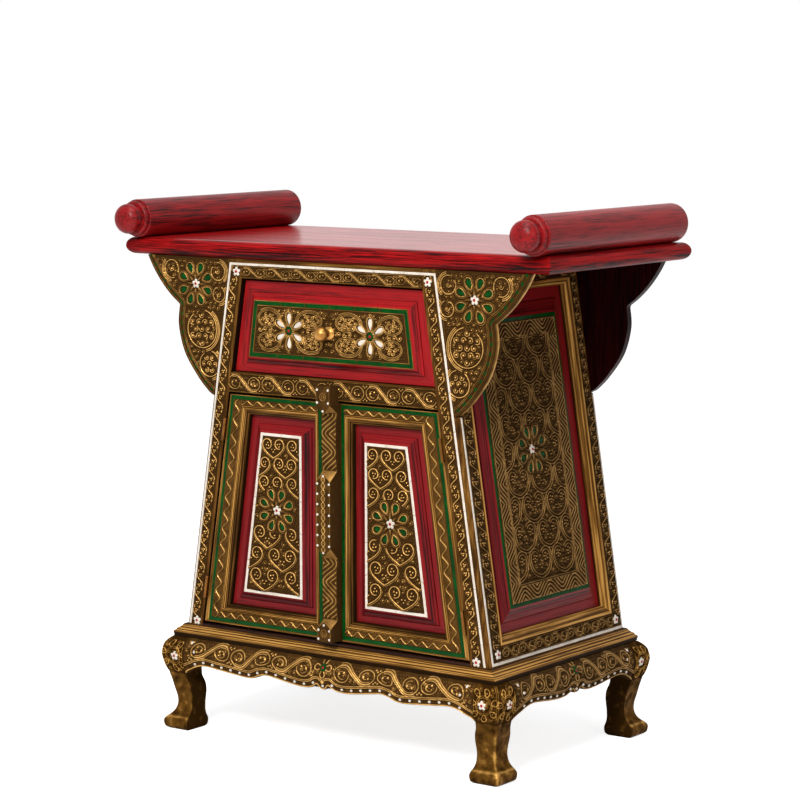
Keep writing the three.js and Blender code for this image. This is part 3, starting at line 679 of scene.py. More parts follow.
def pebbles(outlines, rise, place, ground=0.0):
    """Domed solids on closed outlines (n, points, 2): rings that draw in as they rise."""
    outlines = np.asarray(outlines, float)
    count, size = outlines.shape[:2]
    centre = outlines.mean(1, keepdims=True)
    flats = centre[:, None] + (outlines - centre)[:, None] * PEBBLE_RINGS[:, 0][None, :, None, None]
    prouds = ground + rise * PEBBLE_RINGS[:, 1][None, :, None]
    rings = place(flats[..., 0], flats[..., 1], prouds).reshape(count, -1, 3)
    middle = centre[:, 0]
    tips = [place(middle[:, 0], middle[:, 1], ground + rise * h)[:, None] for h in (-0.6, 1.0)]
    points = np.concatenate([rings, *tips], 1)
    foot, crown = 4 * size, 4 * size + 1
    k = np.arange(size)
    after = (k + 1) % size
    fan = [
        stacked(after, k, foot),
        stacked(3 * size + k, 3 * size + after, crown),
    ]
    starts = (4 * size + 2) * np.arange(count)[:, None, None]
    quads = grid_quads(4, size, around=True)[None] + starts
    return Solid(points, quads, np.concatenate(fan)[None] + starts)


def turned_outline(shape, centres, turns=0.0):
    """Copies of one outline (points, 2), turned about their origin and moved to centres."""
    centres = np.asarray(centres, float).reshape(-1, 2)
    turns = np.broadcast_to(turns, len(centres))
    c, s = np.cos(turns), np.sin(turns)
    spin = np.stack([stacked(c, -s), stacked(s, c)], -2)
    return np.einsum("nij,kj->nki", spin, shape) + centres[:, None]


def around(sides):
    """Even angles once round, without the last, which is the first again."""
    return np.linspace(0, 2 * np.pi, sides, endpoint=False)


def unit(angle):
    """Points at distance 1 from the origin, in the directions of the angles."""
    return stacked(np.cos(angle), np.sin(angle))


def closed(outline):
    """An outline as a path that comes back to its first point."""
    return np.concatenate([outline, outline[:1]])


def disc(radius, sides=12):
    """Round outline about the origin."""
    return radius * unit(around(sides))


def blossom(radius, petals=5, depth=0.3):
    """Round outline whose radius dips between its petals: 1 - depth * (1 - |cos|) ^ 1.3."""
    angle = around(8 * petals)
    wave = np.abs(np.cos(angle * petals / 2))
    return (radius * (1 - depth * (1 - wave) ** 1.3))[:, None] * unit(angle)


def drop(length, width):
    """Petal outline, pointed towards the flower's middle: the width grows as sqrt(1 + cos)."""
    angle = around(24)
    taper = np.sqrt((1 + np.cos(angle)) / 2) ** 0.9
    return stacked(length / 2 * np.cos(angle), width / 2 * 1.25 * np.sin(angle) * taper)


def petal_ring(centre, count, radius, phase, shape):
    """Drop petals round a centre, each pointing inwards."""
    turns = phase + 2 * np.pi * np.arange(count) / count
    return turned_outline(shape, np.asarray(centre) + radius * unit(turns), turns)


def dots(radius, centres, rise, place, ground=0.0):
    """Round pebbles at the centres."""
    return pebbles(turned_outline(disc(radius), centres), rise, place, ground)


def blossoms(radius, centres, rise, place, ground=0.0, depth=0.48):
    """Five-petalled pebbles at the centres, with one petal upwards."""
    return pebbles(turned_outline(blossom(radius, depth=depth), centres, math.pi / 2), rise, place, ground)


# %% [markdown]
# ## The carver's tools
#
# A Carving is a height map in millimetres over a flat patch. Its one tool is a round cord:
# each short step of a path stamps a dome of height h * sqrt(1 - (r / w)^2), and where
# stamps meet the higher wins. Spirals, hearts, zigzags and flowers are all such paths.


# %% Carving
class Carving:
    """Height map over u0..u1 and v0..v1, drawn with round cords."""

    STEP = 0.4
    BARE = 0.25

    def __init__(self, u0, u1, v0, v1):
        self.low = np.array([u0, v0], float)
        self.high = np.array([u1, v1], float)
        columns, rows = np.ceil((self.high - self.low) / self.STEP).astype(int) + 1
        self.height = np.zeros((rows, columns))

    def stamp(self, points, half_width, height):
        """Stamps a dome at each point; widths and heights may vary from point to point."""
        half_width = np.broadcast_to(half_width, len(points))[:, None, None]
        height = np.broadcast_to(height, len(points))[:, None, None]
        reach = math.ceil(half_width.max() / self.STEP) + 1
        offset = np.arange(-reach, reach + 1)
        exact = (points - self.low) / self.STEP
        column = np.round(exact[:, 0]).astype(int)[:, None, None] + offset[None, None]
        row = np.round(exact[:, 1]).astype(int)[:, None, None] + offset[None, :, None]
        column, row = np.broadcast_arrays(column, row)
        du = column - exact[:, 0][:, None, None]
        dv = row - exact[:, 1][:, None, None]
        share = (du ** 2 + dv ** 2) * self.STEP ** 2 / half_width ** 2
        dome = height * np.sqrt(np.clip(1 - share, 0, 1))
        rows, columns = self.height.shape
        inside = (row >= 0) & (row < rows) & (column >= 0) & (column < columns) & (dome > 0)
        np.maximum.at(self.height, (row[inside], column[inside]), dome[inside])

    def cord(self, path, half_width=1.15, height=1.3, taper=0.0):
        """A cord along a path, thinner by the taper towards its end."""
        path = np.asarray(path, float)
        run = run_of(path)
        along = np.arange(0, run[-1], self.STEP)
        points = np.stack([np.interp(along, run, path[:, k]) for k in (0, 1)], -1)
        thin = 1 - taper * along / run[-1]
        self.stamp(points, half_width * thin, height * thin)

    def bud(self, centres, radius=1.7, height=1.6):
        """A single dome, as the carver's punch leaves it."""
        self.stamp(np.asarray(centres, float).reshape(-1, 2), radius, height)

    def cells(self):
        """Places of the map's cells: u along a row, and v up a column."""
        rows, columns = self.height.shape
        u = self.low[0] + np.arange(columns) * self.STEP
        return u, self.low[1] + np.arange(rows)[:, None] * self.STEP

    def clear(self, seats):
        """Lowers the ground inside round seats (u, v, radius) to nothing."""
        u, v = self.cells()
        for centre_u, centre_v, radius in seats:
            self.height[(u - centre_u) ** 2 + (v - centre_v) ** 2 < radius ** 2] = 0

    def seat(self, outlines, share=1.14):
        """Lowers the ground to nothing inside closed outlines, a little enlarged."""
        u, v = self.cells()
        for outline in outlines:
            middle = outline.mean(0)
            spoke = (outline - middle) * share
            angle = np.arctan2(spoke[:, 1], spoke[:, 0])
            order = np.argsort(angle)
            reach = np.hypot(spoke[order, 0], spoke[order, 1])
            rim = np.interp(np.arctan2(v - middle[1], u - middle[0]), angle[order], reach, period=2 * np.pi)
            self.height[np.hypot(u - middle[0], v - middle[1]) < rim] = 0

    def at(self, u, v):
        """Height at any points, by linear interpolation between the map's cells."""
        rows, columns = self.height.shape
        x = np.clip((u - self.low[0]) / self.STEP, 0, columns - 1.001)
        y = np.clip((v - self.low[1]) / self.STEP, 0, rows - 1.001)
        i, j = x.astype(int), y.astype(int)
        s, t = x - i, y - j
        lower = self.height[j, i] * (1 - s) + self.height[j, i + 1] * s
        upper = self.height[j + 1, i] * (1 - s) + self.height[j + 1, i + 1] * s
        return lower * (1 - t) + upper * t

    def taken(self, u, v, radius):
        """Share of a round patch that is already carved, for many patches at once."""
        reach = np.linspace(-1, 1, 5)
        du, dv = (a.ravel() for a in np.meshgrid(reach, reach))
        keep = du ** 2 + dv ** 2 <= 1.01
        samples = self.at(u[:, None] + radius * du[keep], v[:, None] + radius * dv[keep])
        return (samples > self.BARE).mean(1)


def spiral(centre, outer, inner, start, turns, hand=1):
    """Radius falls evenly from outer to inner while the angle runs through the turns."""
    t = np.linspace(0, 1, int(36 * turns) + 8)
    radius = outer + (inner - outer) * t
    return np.asarray(centre) + radius[:, None] * unit(start + hand * 2 * np.pi * turns * t)


def curl(carving, centre, radius, start, hand, height=1.3):
    """A comma: a thick cord that coils in on a bead."""
    carving.cord(spiral(centre, radius, radius * 0.62, start, 0.8, hand), 1.15, height, 0.2)
    carving.bud([centre], radius * 0.44, height * 1.2)



def parallel(path, distance):
    """The path moved sideways, to the left of its direction, by a distance."""
    path = np.asarray(path, float)
    step = np.gradient(path, axis=0)
    step /= np.linalg.norm(step, axis=1, keepdims=True) + 1e-9
    return path + distance * stacked(-step[:, 1], step[:, 0])


def double_cord(carving, path, gap=1.4, half_width=1.05, height=1.35):
    """Two cords side by side, the carver's usual stem."""
    for side in (-gap, gap):
        carving.cord(parallel(path, side), half_width, height)


ROW_PITCH = 0.87


def staggered(carving, pitch, margin):
    """Points of a lattice whose alternate rows are moved by half a pitch."""
    v = np.arange(carving.low[1] + margin, carving.high[1], pitch * ROW_PITCH)
    u = np.arange(carving.low[0] + margin, carving.high[0], pitch)
    u, v = np.meshgrid(u, v)
    return (u + pitch / 2 * (np.arange(len(u)) % 2)[:, None]).ravel(), v.ravel()


def fill_with_beads(carving, inside, radius=1.7, pitch=5.0):
    """Single beads in the last bare spots."""
    u, v = staggered(carving, pitch, radius)
    free = inside(u, v, radius) & (carving.taken(u, v, radius * 1.1) <= 0.05)
    if free.any():
        carving.bud(stacked(u[free], v[free]), radius, 1.0)
    return int(free.sum())


def fill(carving, inside, radius, pitch, limit):
    """Curls on a staggered lattice wherever the ground is bare, then beads in the gaps."""
    u, v = staggered(carving, pitch, radius)
    free = inside(u, v, radius) & (carving.taken(u, v, radius) <= limit)
    for k, centre in enumerate(zip(u[free], v[free])):
        curl(carving, centre, radius, 2.4 * k, 1 if k % 2 else -1)
    return int(free.sum()), fill_with_beads(carving, inside)


def huddle(pitch, reach):
    """Points of a staggered lattice round the origin, inside an ellipse of half sizes reach."""
    j, i = (a.ravel() for a in np.meshgrid(np.arange(-6, 7), np.arange(-6, 7), indexing="ij"))
    spots = pitch * stacked(i + j % 2 / 2, ROW_PITCH * j)
    return spots[np.linalg.norm(spots / reach, axis=1) < 1]


class Flower:
    """A flower inlaid in the carving: one ring of petals for cords, seats and pebbles."""

    def __init__(self, centre, count, radius, length, width, eye):
        """Petals of a length and width round a centre; eye is the radius of its clear seat."""
        self.centre = np.array(centre, float)
        self.count, self.radius, self.eye = count, radius, eye
        self.phase = math.radians(180 / count)
        self.shape = drop(length, width)

    def middle(self, side=1):
        """The centre, or its mirror image on the left."""
        return self.centre * [side, 1]

    def petals(self, side=1):
        """Outlines of the petals, on the right or mirrored on the left."""
        return petal_ring(self.middle(side), self.count, self.radius, self.phase, self.shape)

    def cords(self, carving):
        """Two cords round every petal, and a pair of rays between two petals."""
        for outline in self.petals():
            middle = outline.mean(0)
            for scale, height in ((1.34, 1.6), (1.78, 1.25)):
                carving.cord(closed(middle + (outline - middle) * scale), 0.95, height)
        for k in range(2 * self.count):
            turn = self.phase + np.pi / self.count * (1 + k - k % 2) + (0.07 if k % 2 else -0.07)
            ray = unit(turn) * np.array([[0.3 * self.radius], [1.15 * self.radius]])
            carving.cord(self.centre + ray, 0.9, 1.5, 0.3)

    def sink(self, carving):
        """Clears the seats of the petals and of the middle."""
        carving.seat(self.petals())
        carving.clear([(*self.centre, self.eye)])


def edge_cords(carving, margin, half_width, height, low=None, high=None):
    """Upright cords along both edges of a map, over its whole height or between two levels."""
    low = carving.low[1] if low is None else low
    high = carving.high[1] if high is None else high
    for u in (carving.low[0] + margin, carving.high[0] - margin):
        carving.cord([[u, low], [u, high]], half_width, height)


def strip(start, end, half):
    """Band coordinates: a in millimetres from the start, b from -1 to 1 across the band."""
    start, end = np.asarray(start, float), np.asarray(end, float)
    along = (end - start) / np.linalg.norm(end - start)
    side = np.array([-along[1], along[0]]) * half
    return lambda a, b: start + np.asarray(a)[..., None] * along + np.asarray(b)[..., None] * side


SCROLL_REACH = 1.35


def s_scroll(turns, inner):
    """Two coils of radius 1 at x = -1.35 and 1.35, joined by the line that touches both.

    The line from the middle touches the left coil where the cosine of the angle is 1 / 1.35.
    """
    half = spiral((-SCROLL_REACH, 0), 1.0, inner, math.acos(1 / SCROLL_REACH), turns)
    return np.concatenate([-half[::-1], half])


def scroll_chain(carving, place, length, period, cord=1.1, bead=1.7, first=0.0, stems=True):
    """Chain of S scrolls: a curl and beads in each coil, a thick stem, sprays between scrolls.

    A scroll is 4.8 coil radii long, and a coil reaches 0.94 of the band's half width. Without
    stems the cords are thin, and a coil holds three beads instead of a hook and two.
    """
    count = max(1, round(length / period))
    pitch = length / count
    radius = pitch / 4.8
    for k in range(count):
        middle = first + (k + 0.5) * pitch

        def lay(points, middle=middle):
            points = np.asarray(points, float)
            return place(middle + radius * points[..., 0], 0.94 * points[..., 1])

        carving.cord(lay(s_scroll(0.9, 0.74)), 0.9 * cord, 1.45 if stems else 1.15)
        stem = lay(s_scroll(0.2, 0.98))
        carving.cord(stem, 1.1 * cord, 1.65)
        for gap in (-2.1, 2.1) if stems else ():
            carving.cord(parallel(stem, gap * cord), 0.8 * cord, 1.45)
        for eye in (-SCROLL_REACH, SCROLL_REACH):
            turn = np.radians([70, 190, 310]) * np.sign(eye)
            ring = [eye, 0] + 0.32 * unit(turn)
            if stems:
                hook = spiral((eye, 0), 0.5, 0.34, turn[0], 0.55, np.sign(eye))
                carving.cord(lay(hook), 0.8 * cord, 1.4)
                ring = ring[1:]
            carving.bud(lay(ring), bead, 1.8)
        for lift in (-0.72, 0.72):
            spray = [[2.4, lift], [2.18, 1.25 * lift], [2.62, 1.25 * lift]]
            carving.bud(lay(spray), 0.85 * bead, 1.6)


def wave_tile(period, width, pitch, share, height):
    """One period of a band of wave lines, on the grid of a Carving.

    The middle line is a cosine wave over 0.92 of the band. The others are its parallels:
    ridges where the distance to the wave is a whole number of pitches, so they nest in
    each bend.
    """
    s = np.arange(0, period, Carving.STEP)[None, :, None]
    t = np.arange(0, width + Carving.STEP, Carving.STEP)[:, None, None]
    at = np.linspace(-period / 2, 1.5 * period, 240)
    wave = width / 2 * (1 - 0.92 * np.cos(2 * np.pi * at / period))
    gap = np.sqrt((s - at) ** 2 + (t - wave) ** 2).min(-1)
    phase = (gap / pitch + 0.5) % 1 - 0.5
    return height * np.sqrt(np.clip(1 - (phase / share) ** 2, 0, 1))


def wave_lines(s, t, period, width, pitch, share=0.3, height=1.4):
    """Wave lines at any place: s along the band, repeated, and t across it."""
    tile = wave_tile(period, width, pitch, share, height)
    s, t = np.broadcast_arrays(s, t)
    column = np.round((s % period) / Carving.STEP).astype(int) % tile.shape[1]
    row = np.clip(np.round(t / Carving.STEP).astype(int), 0, len(tile) - 1)
    return tile[row, column]


DEPTH = 1.9
CREST = 1.5


def crest_of(height):
    """Relief of carving, near 1 on the narrow crests only: (height / CREST) ^ 2.4."""
    return np.clip(height / CREST, 0, 1) ** 2.4


def carved_sheet(carving, drawn, face, place, ground=0.1, back=-0.6, rail_relief=0.2, worn=0.0):
    """Mesh of a patch: heights read where they are drawn (u, v), placed on the face (u, v).

    The relief runs from worn, on the ground, to 1 on the crest of a cord.
    """
    height = carving.at(*drawn)
    u, v = face
    rails = [place(u[:, k], v[:, k], back) for k in (0, -1)]
    relief = worn + (1 - worn) * crest_of(height)
    return backed_sheet(place(u, v, ground + DEPTH * height), *rails, relief, rail_relief=rail_relief)


def rows_and_columns(v0, v1, left, right, step):
    """Grid of (u, v) between two edges given by height, about one step apart."""
    v = np.linspace(v0, v1, max(2, int(round((v1 - v0) / step)) + 1))
    middle = (v0 + v1) / 2
    width = right(middle) - left(middle)
    share = np.linspace(0, 1, max(2, int(round(width / step)) + 1))
    lo, hi = left(v)[:, None], right(v)[:, None]
    return lo + (hi - lo) * share, np.broadcast_to(v[:, None], (len(v), len(share)))


def steady(value):
    """An edge at the same place at every height."""
    return lambda v: np.full_like(np.asarray(v, float), value)


print("carver's tools ready")

# %% [markdown]
# ## Carved frame of the front
#
# Each front post carries a chain of scrolls between two thin edge cords, then a white line
# of inlay and a plain bevel. The rails above and below the drawer carry thicker chains. A
# band is drawn straight, and its sheet then leans with the post.

# %% Front posts and rails
BAND_START = 5.2
BAND = 17.8
WHITE_LINE = 4
FRONT_LINE_TOP = 764
FRONT_STEP = 0.7
SMALL_FLOWERS = np.array([[186, 750], [275.5, 181]])
SMALL_SEAT = 8.4


def upright_band(length, width, period):
    """Band drawn from its own corner, u across and v along: edge cords and a fine chain."""
    carving = Carving(0, width, 0, length)
    edge_cords(carving, 0.9, 0.9, 0.8)
    middle = strip((width / 2, 0), (width / 2, 1), width / 2 - 2.0)
    scroll_chain(carving, middle, length, period, 0.95, 1.75, stems=False)
    fill_with_beads(carving, lambda u, v, r: (u > r + 2) & (u < width - r - 2))
    return carving


def lying_band(half, low, high, period, cord, bead):
    """Rail from -half to half: edge cords, a chain with stems, and small curls between."""
    carving = Carving(-half, half, low, high)
    for edge in (low + 1, high - 1):
        carving.cord([[-half, edge], [half, edge]], 0.95, 1.2)
    middle = (low + high) / 2
    place = strip((-half, middle), (half, middle), (high - low) / 2 - 2.4)
    scroll_chain(carving, place, 2 * half, period, cord, bead)
    fill(carving, lambda u, v, r: (v > low + r + 2) & (v < high - r - 2), 2.8, 7.2, 0.08)
    return carving


post_low, post_high = STAND_TOP + 1.5, FRONT_LINE_TOP - WHITE_LINE - 0.5
post_band = upright_band(post_high - post_low, BAND, 29)
post_band.clear([(x - opening_at(z) - BAND_START, z - post_low, SMALL_SEAT) for x, z in SMALL_FLOWERS])
posts = []
for sign in (-1, 1):
    a, v = rows_and_columns(post_low, post_high, steady(0), steady(BAND), FRONT_STEP)
    u = sign * (opening_at(v) + BAND_START + a)
    posts.append(carved_sheet(post_band, (a, v - post_low), (u, v), on_front))
make_piece("front_post_carving", joined(posts), gilt)

rails = []
for low, high, period, cord in ((740.0, 759.4, 52, 0.95), (558.6, 589.4, 72, 1.2)):
    band = lying_band(float(opening_at(low)) + 1, low, high, period, cord, 1.6 * cord)
    grid = rows_and_columns(low, high, lambda z: -opening_at(z), opening_at, FRONT_STEP)
    rails.append(carved_sheet(band, grid, grid, on_front))
make_piece("front_rail_carving", joined(rails), gilt)

# %% [markdown]
# ## Wings
#
# A wing is a flat board with two lobes. Its outline is read from the CAD node, level by
# level, and a smooth curve is laid through those levels on each side of the notch. From
# the edge inwards come a plain cord, a groove with green dashes, a double cord, and then
# the carved field with its eight-petalled flower.


# %% Smooth curves through the frame's levels
def smooth_curve(keys, values, at):
    """Cubic curve through points; each slope is the mean of the two chords beside it."""
    step = np.diff(keys)
    chord = np.diff(values) / step
    slope = np.concatenate([chord[:1], (chord[1:] + chord[:-1]) / 2, chord[-1:]])
    i = np.clip(np.searchsorted(keys, at, "right") - 1, 0, len(step) - 1)
    t = np.clip((at - keys[i]) / step[i], 0, 1)
    rise = values[i + 1] - values[i]
    lead, trail = slope[i] * step[i] - rise, rise - slope[i + 1] * step[i]
    return values[i] + t * rise + t * (1 - t) * (lead * (1 - t) + trail * t)


wing_z, wing_x = levels("front_right_wing", 2, 0, 1)
NOTCH_BETWEEN = (660, 720)
near_notch = (wing_z > NOTCH_BETWEEN[0]) & (wing_z < NOTCH_BETWEEN[1])
notch = int(np.argmin(np.where(near_notch, wing_x, np.inf)))


def wing_edge(z):
    """Outer edge of a wing: one smooth curve below the notch and another above it."""
    z = np.asarray(z, float)
    below = smooth_curve(wing_z[1:notch + 1], wing_x[1:notch + 1], z)
    above = smooth_curve(wing_z[notch:], wing_x[notch:], z)
    return np.where(z < wing_z[notch], below, above)


def wing_root(z):
    """Inner edge of a wing, against the post."""
    return side_at(z) - EDGE_BEVEL + 0.3


WING_FLOWER = Flower((271, 727), 8, 26, 14.5, 9.6, 8.2)
WING_GROUND = -1.2
WING_BACK = -12.0

# %% Carving of a wing
def inset_path(path, distance):
    """Parallel path without the points that come nearer to the path than the distance."""
    moved = parallel(path, distance)
    gap = np.linalg.norm(moved[:, None] - path[None], axis=2).min(1)
    return moved[gap > 0.97 * distance]


def bunch(carving, centre, radius, size, turn):
    """A bunch of curls, each with its bead, in an open rim that is thicker on one side."""
    centre = np.asarray(centre, float)
    carving.cord(spiral(centre, radius, 0.93 * radius, turn - 0.6, 0.86), 1.2, 1.6)
    for gap in (2.8, 5.4):
        carving.cord(spiral(centre, radius + gap, radius + gap, turn - 0.2, 0.36), 1.15, 1.6)
    for k, spot in enumerate(huddle(2.6 * size, radius - size - 1.2)):
        curl(carving, centre + spot, size, 2.1 * k, 1 if k % 2 else -1, 1.7)


def inside_wing(u, v, radius):
    """True where a curl of this radius keeps clear of the wing's cords."""
    clear = wing_edge(v) - 14.0 - radius
    return (u > wing_root(v) + radius + 3.4) & (u < clear) & (v < wing_high - radius - 1)


wing_low, wing_high = WING_FOOT + 0.2, BOARD_BOTTOM - 0.3
edge_z = np.linspace(wing_low + 0.5, wing_high, 240)
edge_path = stacked(wing_edge(edge_z), edge_z)
wing_map = Carving(198, 376, wing_low, wing_high)
for distance, half_width, height in ((0.9, 0.9, 1.0), (3.4, 0.9, 1.2), (9.6, 1.0, 1.2), (12.0, 1.1, 1.2)):
    wing_map.cord(inset_path(edge_path, distance), half_width, height)
wing_map.cord(stacked(wing_root(edge_z) + 2.6, edge_z), 1.0, 1.0)
WING_FLOWER.cords(wing_map)
bunch(wing_map, (258, 655), 31, 4.9, 2.4)
bunch(wing_map, (243, 600), 21, 4.3, 2.4)
bunch(wing_map, (320, 749), 15, 3.9, 5.0)
bunch(wing_map, (224, 748), 14.5, 3.9, 2.0)
bunch(wing_map, (222, 712), 12.5, 3.9, 2.6)
print("curls and beads on a wing:", *fill(wing_map, inside_wing, 3.9, 9.2, 0.22))
WING_FLOWER.sink(wing_map)


def wing_solid(sign, depth_sign, carving=None, face=0.0, back=WING_BACK):
    """Board with its carved or plain face outwards, or a thin layer of one."""
    u, v = rows_and_columns(wing_low, wing_high, wing_root, wing_edge, 0.7 if carving else 4.0)

    def place(across, up, proud):
        return stacked(sign * across, depth_sign * (HALF_DEPTH + proud), up)

    if carving:
        return carved_sheet(carving, (u, v), (u, v), place, WING_GROUND, back, rail_relief=0.9)
    rails = [place(u[:, k], v[:, k], back) for k in (0, -1)]
    return backed_sheet(place(u, v, face), *rails, relief=0.3, grain="z")


for name, sign in SIDES.items():
    make_piece(f"front_{name}_wing_carved", wing_solid(sign, -1, wing_map), gilt,
               stands_for=[f"front_{name}_wing"])
    backing = wing_solid(sign, -1, face=WING_BACK, back=WING_BACK - 0.3)
    make_piece(f"front_{name}_wing_backing", backing, dark_lacquer)
    # The rear wings stand in the shade under the top board: their near-black lacquer is painted shade.
    make_piece(f"rear_{name}_wing_board", wing_solid(sign, 1), dark_lacquer,
               stands_for=[f"rear_{name}_wing"])

# %% [markdown]
# ## Drawer front
#
# A flat red border, then a red moulding that climbs to a panel slightly proud of the frame.
# On the panel lie a green line between two thin gold fillets, and the carved field with a
# white six-petalled flower on each side of the knob. The carving is drawn for one half and
# mirrored.

# %% Drawer
DRAWER_FACE = -9.0
DRAWER_FIELD = 1.5
DRAWER_BACK = -27
KNOB = (0, 663)


def trapezoid(low, high, low_half, high_half):
    """Outline symmetrical about the middle, counter-clockwise from the lower left."""
    return np.array([[-low_half, low], [low_half, low], [high_half, high], [-high_half, high]], float)


def inset(outline, distance):
    """Outline drawn in by a distance on each side, exact for mitred corners."""
    outline = np.asarray(outline, float)
    edge = np.roll(outline, -1, axis=0) - outline
    edge /= np.linalg.norm(edge, axis=1, keepdims=True)
    normal = stacked(-edge[:, 1], edge[:, 0])
    before = np.roll(normal, 1, axis=0)
    reach = distance / (1 + (normal * before).sum(1))
    return outline + (normal + before) * reach[:, None]


def fillet(outline, width, rise, place):
    """Thin round fillet along the inside of an outline."""
    profile = [(0, 0), (0.15, rise * 0.7), (0.5, rise), (0.85, rise * 0.7), (1, 0)]
    return moulding(outline, inset(outline, width), profile, -0.5, place)


def raised(place, level):
    """The same placing function, starting from a raised or sunk level."""
    return lambda u, v, proud: place(u, v, np.asarray(proud) + level)


drawer_low, drawer_high = corners("drawer_front")[:, 2]
drawer_halves = opening_at(np.array([drawer_low, drawer_high])) - 1.5
drawer_edge = trapezoid(drawer_low, drawer_high, *drawer_halves)
drawer_base = trapezoid(605.5, 718.5, 174, 160)
drawer_field = trapezoid(616.5, 707.5, 161.5, 149.5)
border = [(0, DRAWER_FACE - 0.6), (0.04, DRAWER_FACE), (1, DRAWER_FACE)]
climb = [
    (0.0, DRAWER_FACE), (0.03, -7.6), (0.12, -6.7), (0.26, -6.2), (0.34, -5.9), (0.38, -4.9),
    (0.5, -4.3), (0.6, -3.2), (0.7, -1.5), (0.8, -0.1), (0.9, 0.9), (1.0, DRAWER_FIELD),
]
drawer_lacquered = joined([
    moulding(drawer_edge, drawer_base, border, DRAWER_BACK, on_front),
    # Painted side light on the climb: its upper member lighter and the others darker, as light from above
    # falls.
    moulding(drawer_base, drawer_field, climb, DRAWER_BACK, on_front, 0.04, (-0.16, -0.02, 0.26, -0.08)),
    slab(drawer_field, DRAWER_BACK, DRAWER_FIELD, on_front),
])
make_piece("drawer_front_lacquered", drawer_lacquered, lacquer, "drawer", ["drawer_front"])

on_drawer = raised(on_front, DRAWER_FIELD)
drawer_trim = joined([
    fillet(inset(drawer_field, 0.2), 1.4, 0.8, on_drawer),
    fillet(inset(drawer_field, 7.6), 1.3, 0.9, on_drawer),
])
make_piece("drawer_fillets", drawer_trim, gold_trim, "drawer")

# %% Carving of the drawer
DRAWER_FLOWER = Flower((79, 662), 6, 18.5, 17.5, 8.2, 7)


def edge_between(low_point, high_point):
    """Straight edge through two corners, as a function of height."""
    (u0, v0), (u1, v1) = low_point, high_point
    return lambda v: u0 + (u1 - u0) * (np.asarray(v, float) - v0) / (v1 - v0)


def kidney(carving, centre, half_width, half_height, start, hand):
    """Flattened coil with another cord on its back, and a huddle of curls in its hollow."""
    size = np.array([half_width, half_height])
    turn = spiral((0, 0), 1.0, 0.72, start, 1.05, hand)
    double_cord(carving, centre + turn * size, 1.15, 1.0, 1.4)
    back = spiral((0, 0), 1.0, 0.9, start + hand * 0.3, 0.42, hand)
    carving.cord(centre + back * (size + 3.2), 1.1, 1.4)
    for k, spot in enumerate(huddle(7.3, size * 0.72 - 2.4)):
        curl(carving, centre + spot, 3.5, 2.3 * k + centre[0], hand, 1.6)


field_outline = inset(drawer_field, 8.9)
field_low, field_high = field_outline[0, 1], field_outline[2, 1]
drawer_right = edge_between(field_outline[1], field_outline[2])
drawer_map = Carving(-156, 156, field_low, field_high)
DRAWER_FLOWER.cords(drawer_map)
flower_v = DRAWER_FLOWER.centre[1]
for middle, outwards, half_width in ((120, 1, 23), (36, -1, 26)):
    for up in (-1, 1):
        centre = np.array([middle, flower_v + up * 17.0])
        start = math.pi * (0.5 + 0.5 * outwards) + up * outwards * 0.7
        kidney(drawer_map, centre, half_width, 15.5, start, -up * outwards)
    for step in (-4, 6, 16):
        curl(drawer_map, (middle + outwards * step, flower_v), 4.0, step, outwards, 1.6)
for centre in ((79, 694), (79, 630), (6, 690), (6, 634), (60, 692), (98, 692), (60, 632), (98, 632)):
    curl(drawer_map, centre, 3.6, 0.4 + centre[0], 1)


def inside_drawer(u, v, radius):
    """True on the right half, clear of the edges of the field."""
    low, high = field_low + radius + 1, field_high - radius - 1
    return (u > 0) & (u < drawer_right(v) - radius - 1.5) & (v > low) & (v < high)


print("curls and beads on the drawer:", *fill(drawer_map, inside_drawer, 3.9, 9.2, 0.16))
DRAWER_FLOWER.sink(drawer_map)
drawer_map.height = np.maximum(drawer_map.height, drawer_map.height[:, ::-1])
grid = rows_and_columns(field_low, field_high, lambda z: -drawer_right(z), drawer_right, 0.62)
drawer_sheet = carved_sheet(drawer_map, grid, grid, on_drawer, 0.15)
make_piece("drawer_carving", drawer_sheet, gilt, "drawer")

drawer_green = [tiles(cut_ring(inset(drawer_field, 1.6), inset(drawer_field, 7.6), 52), 0.5, on_drawer)]
drawer_white, drawer_red = [], []
for sign in (-1, 1):
    centre = DRAWER_FLOWER.middle(sign)
    drawer_white.append(pebbles(DRAWER_FLOWER.petals(sign), 1.3, on_drawer, 0.2))
    drawer_green.append(pebbles(turned_outline(blossom(7.4, 6), centre), 1.7, on_drawer))
    drawer_red.append(dots(2.4, centre, 0.8, on_drawer, 1.7))
make_piece("drawer_green_inlay", joined(drawer_green), green_inlay, "drawer")
make_piece("drawer_white_petals", joined(drawer_white), white_inlay, "drawer")
make_piece("drawer_red_dots", joined(drawer_red), red_inlay, "drawer")

# %% [markdown]
# ## Turned pieces
#
# The knob and the scrolls are turned: a profile of (radius, distance along the axis) is
# carried round the axis. A smooth curve is laid through the profile's points, section by
# section, so that the steps between beads stay crisp.


# %% Turning
def rounded(points, fineness=6):
    """Smooth curve through a few points of a profile, as whole arrays."""
    points = np.asarray(points, float)
    knots = np.arange(len(points))
    at = np.linspace(0, len(points) - 1, (len(points) - 1) * fineness + 1)
    return np.stack([smooth_curve(knots, points[:, k], at) for k in (0, 1)], -1)


def turned(sections, segments, place, grain):
    """Rings of a profile round an axis; place gives the point of (across, up, along)."""
    profile = np.concatenate(sections)
    angle = around(segments)
    radius = np.maximum(profile[:, :1], 0.05)
    rings = place(radius * np.cos(angle), radius * np.sin(angle), profile[:, 1:2])
    return loft(rings, grain=grain)


def on_knob_axis(across, up, along):
    """Along runs from the drawer's face towards the viewer."""
    return stacked(KNOB[0] + across, -HALF_DEPTH - along, KNOB[1] + up)


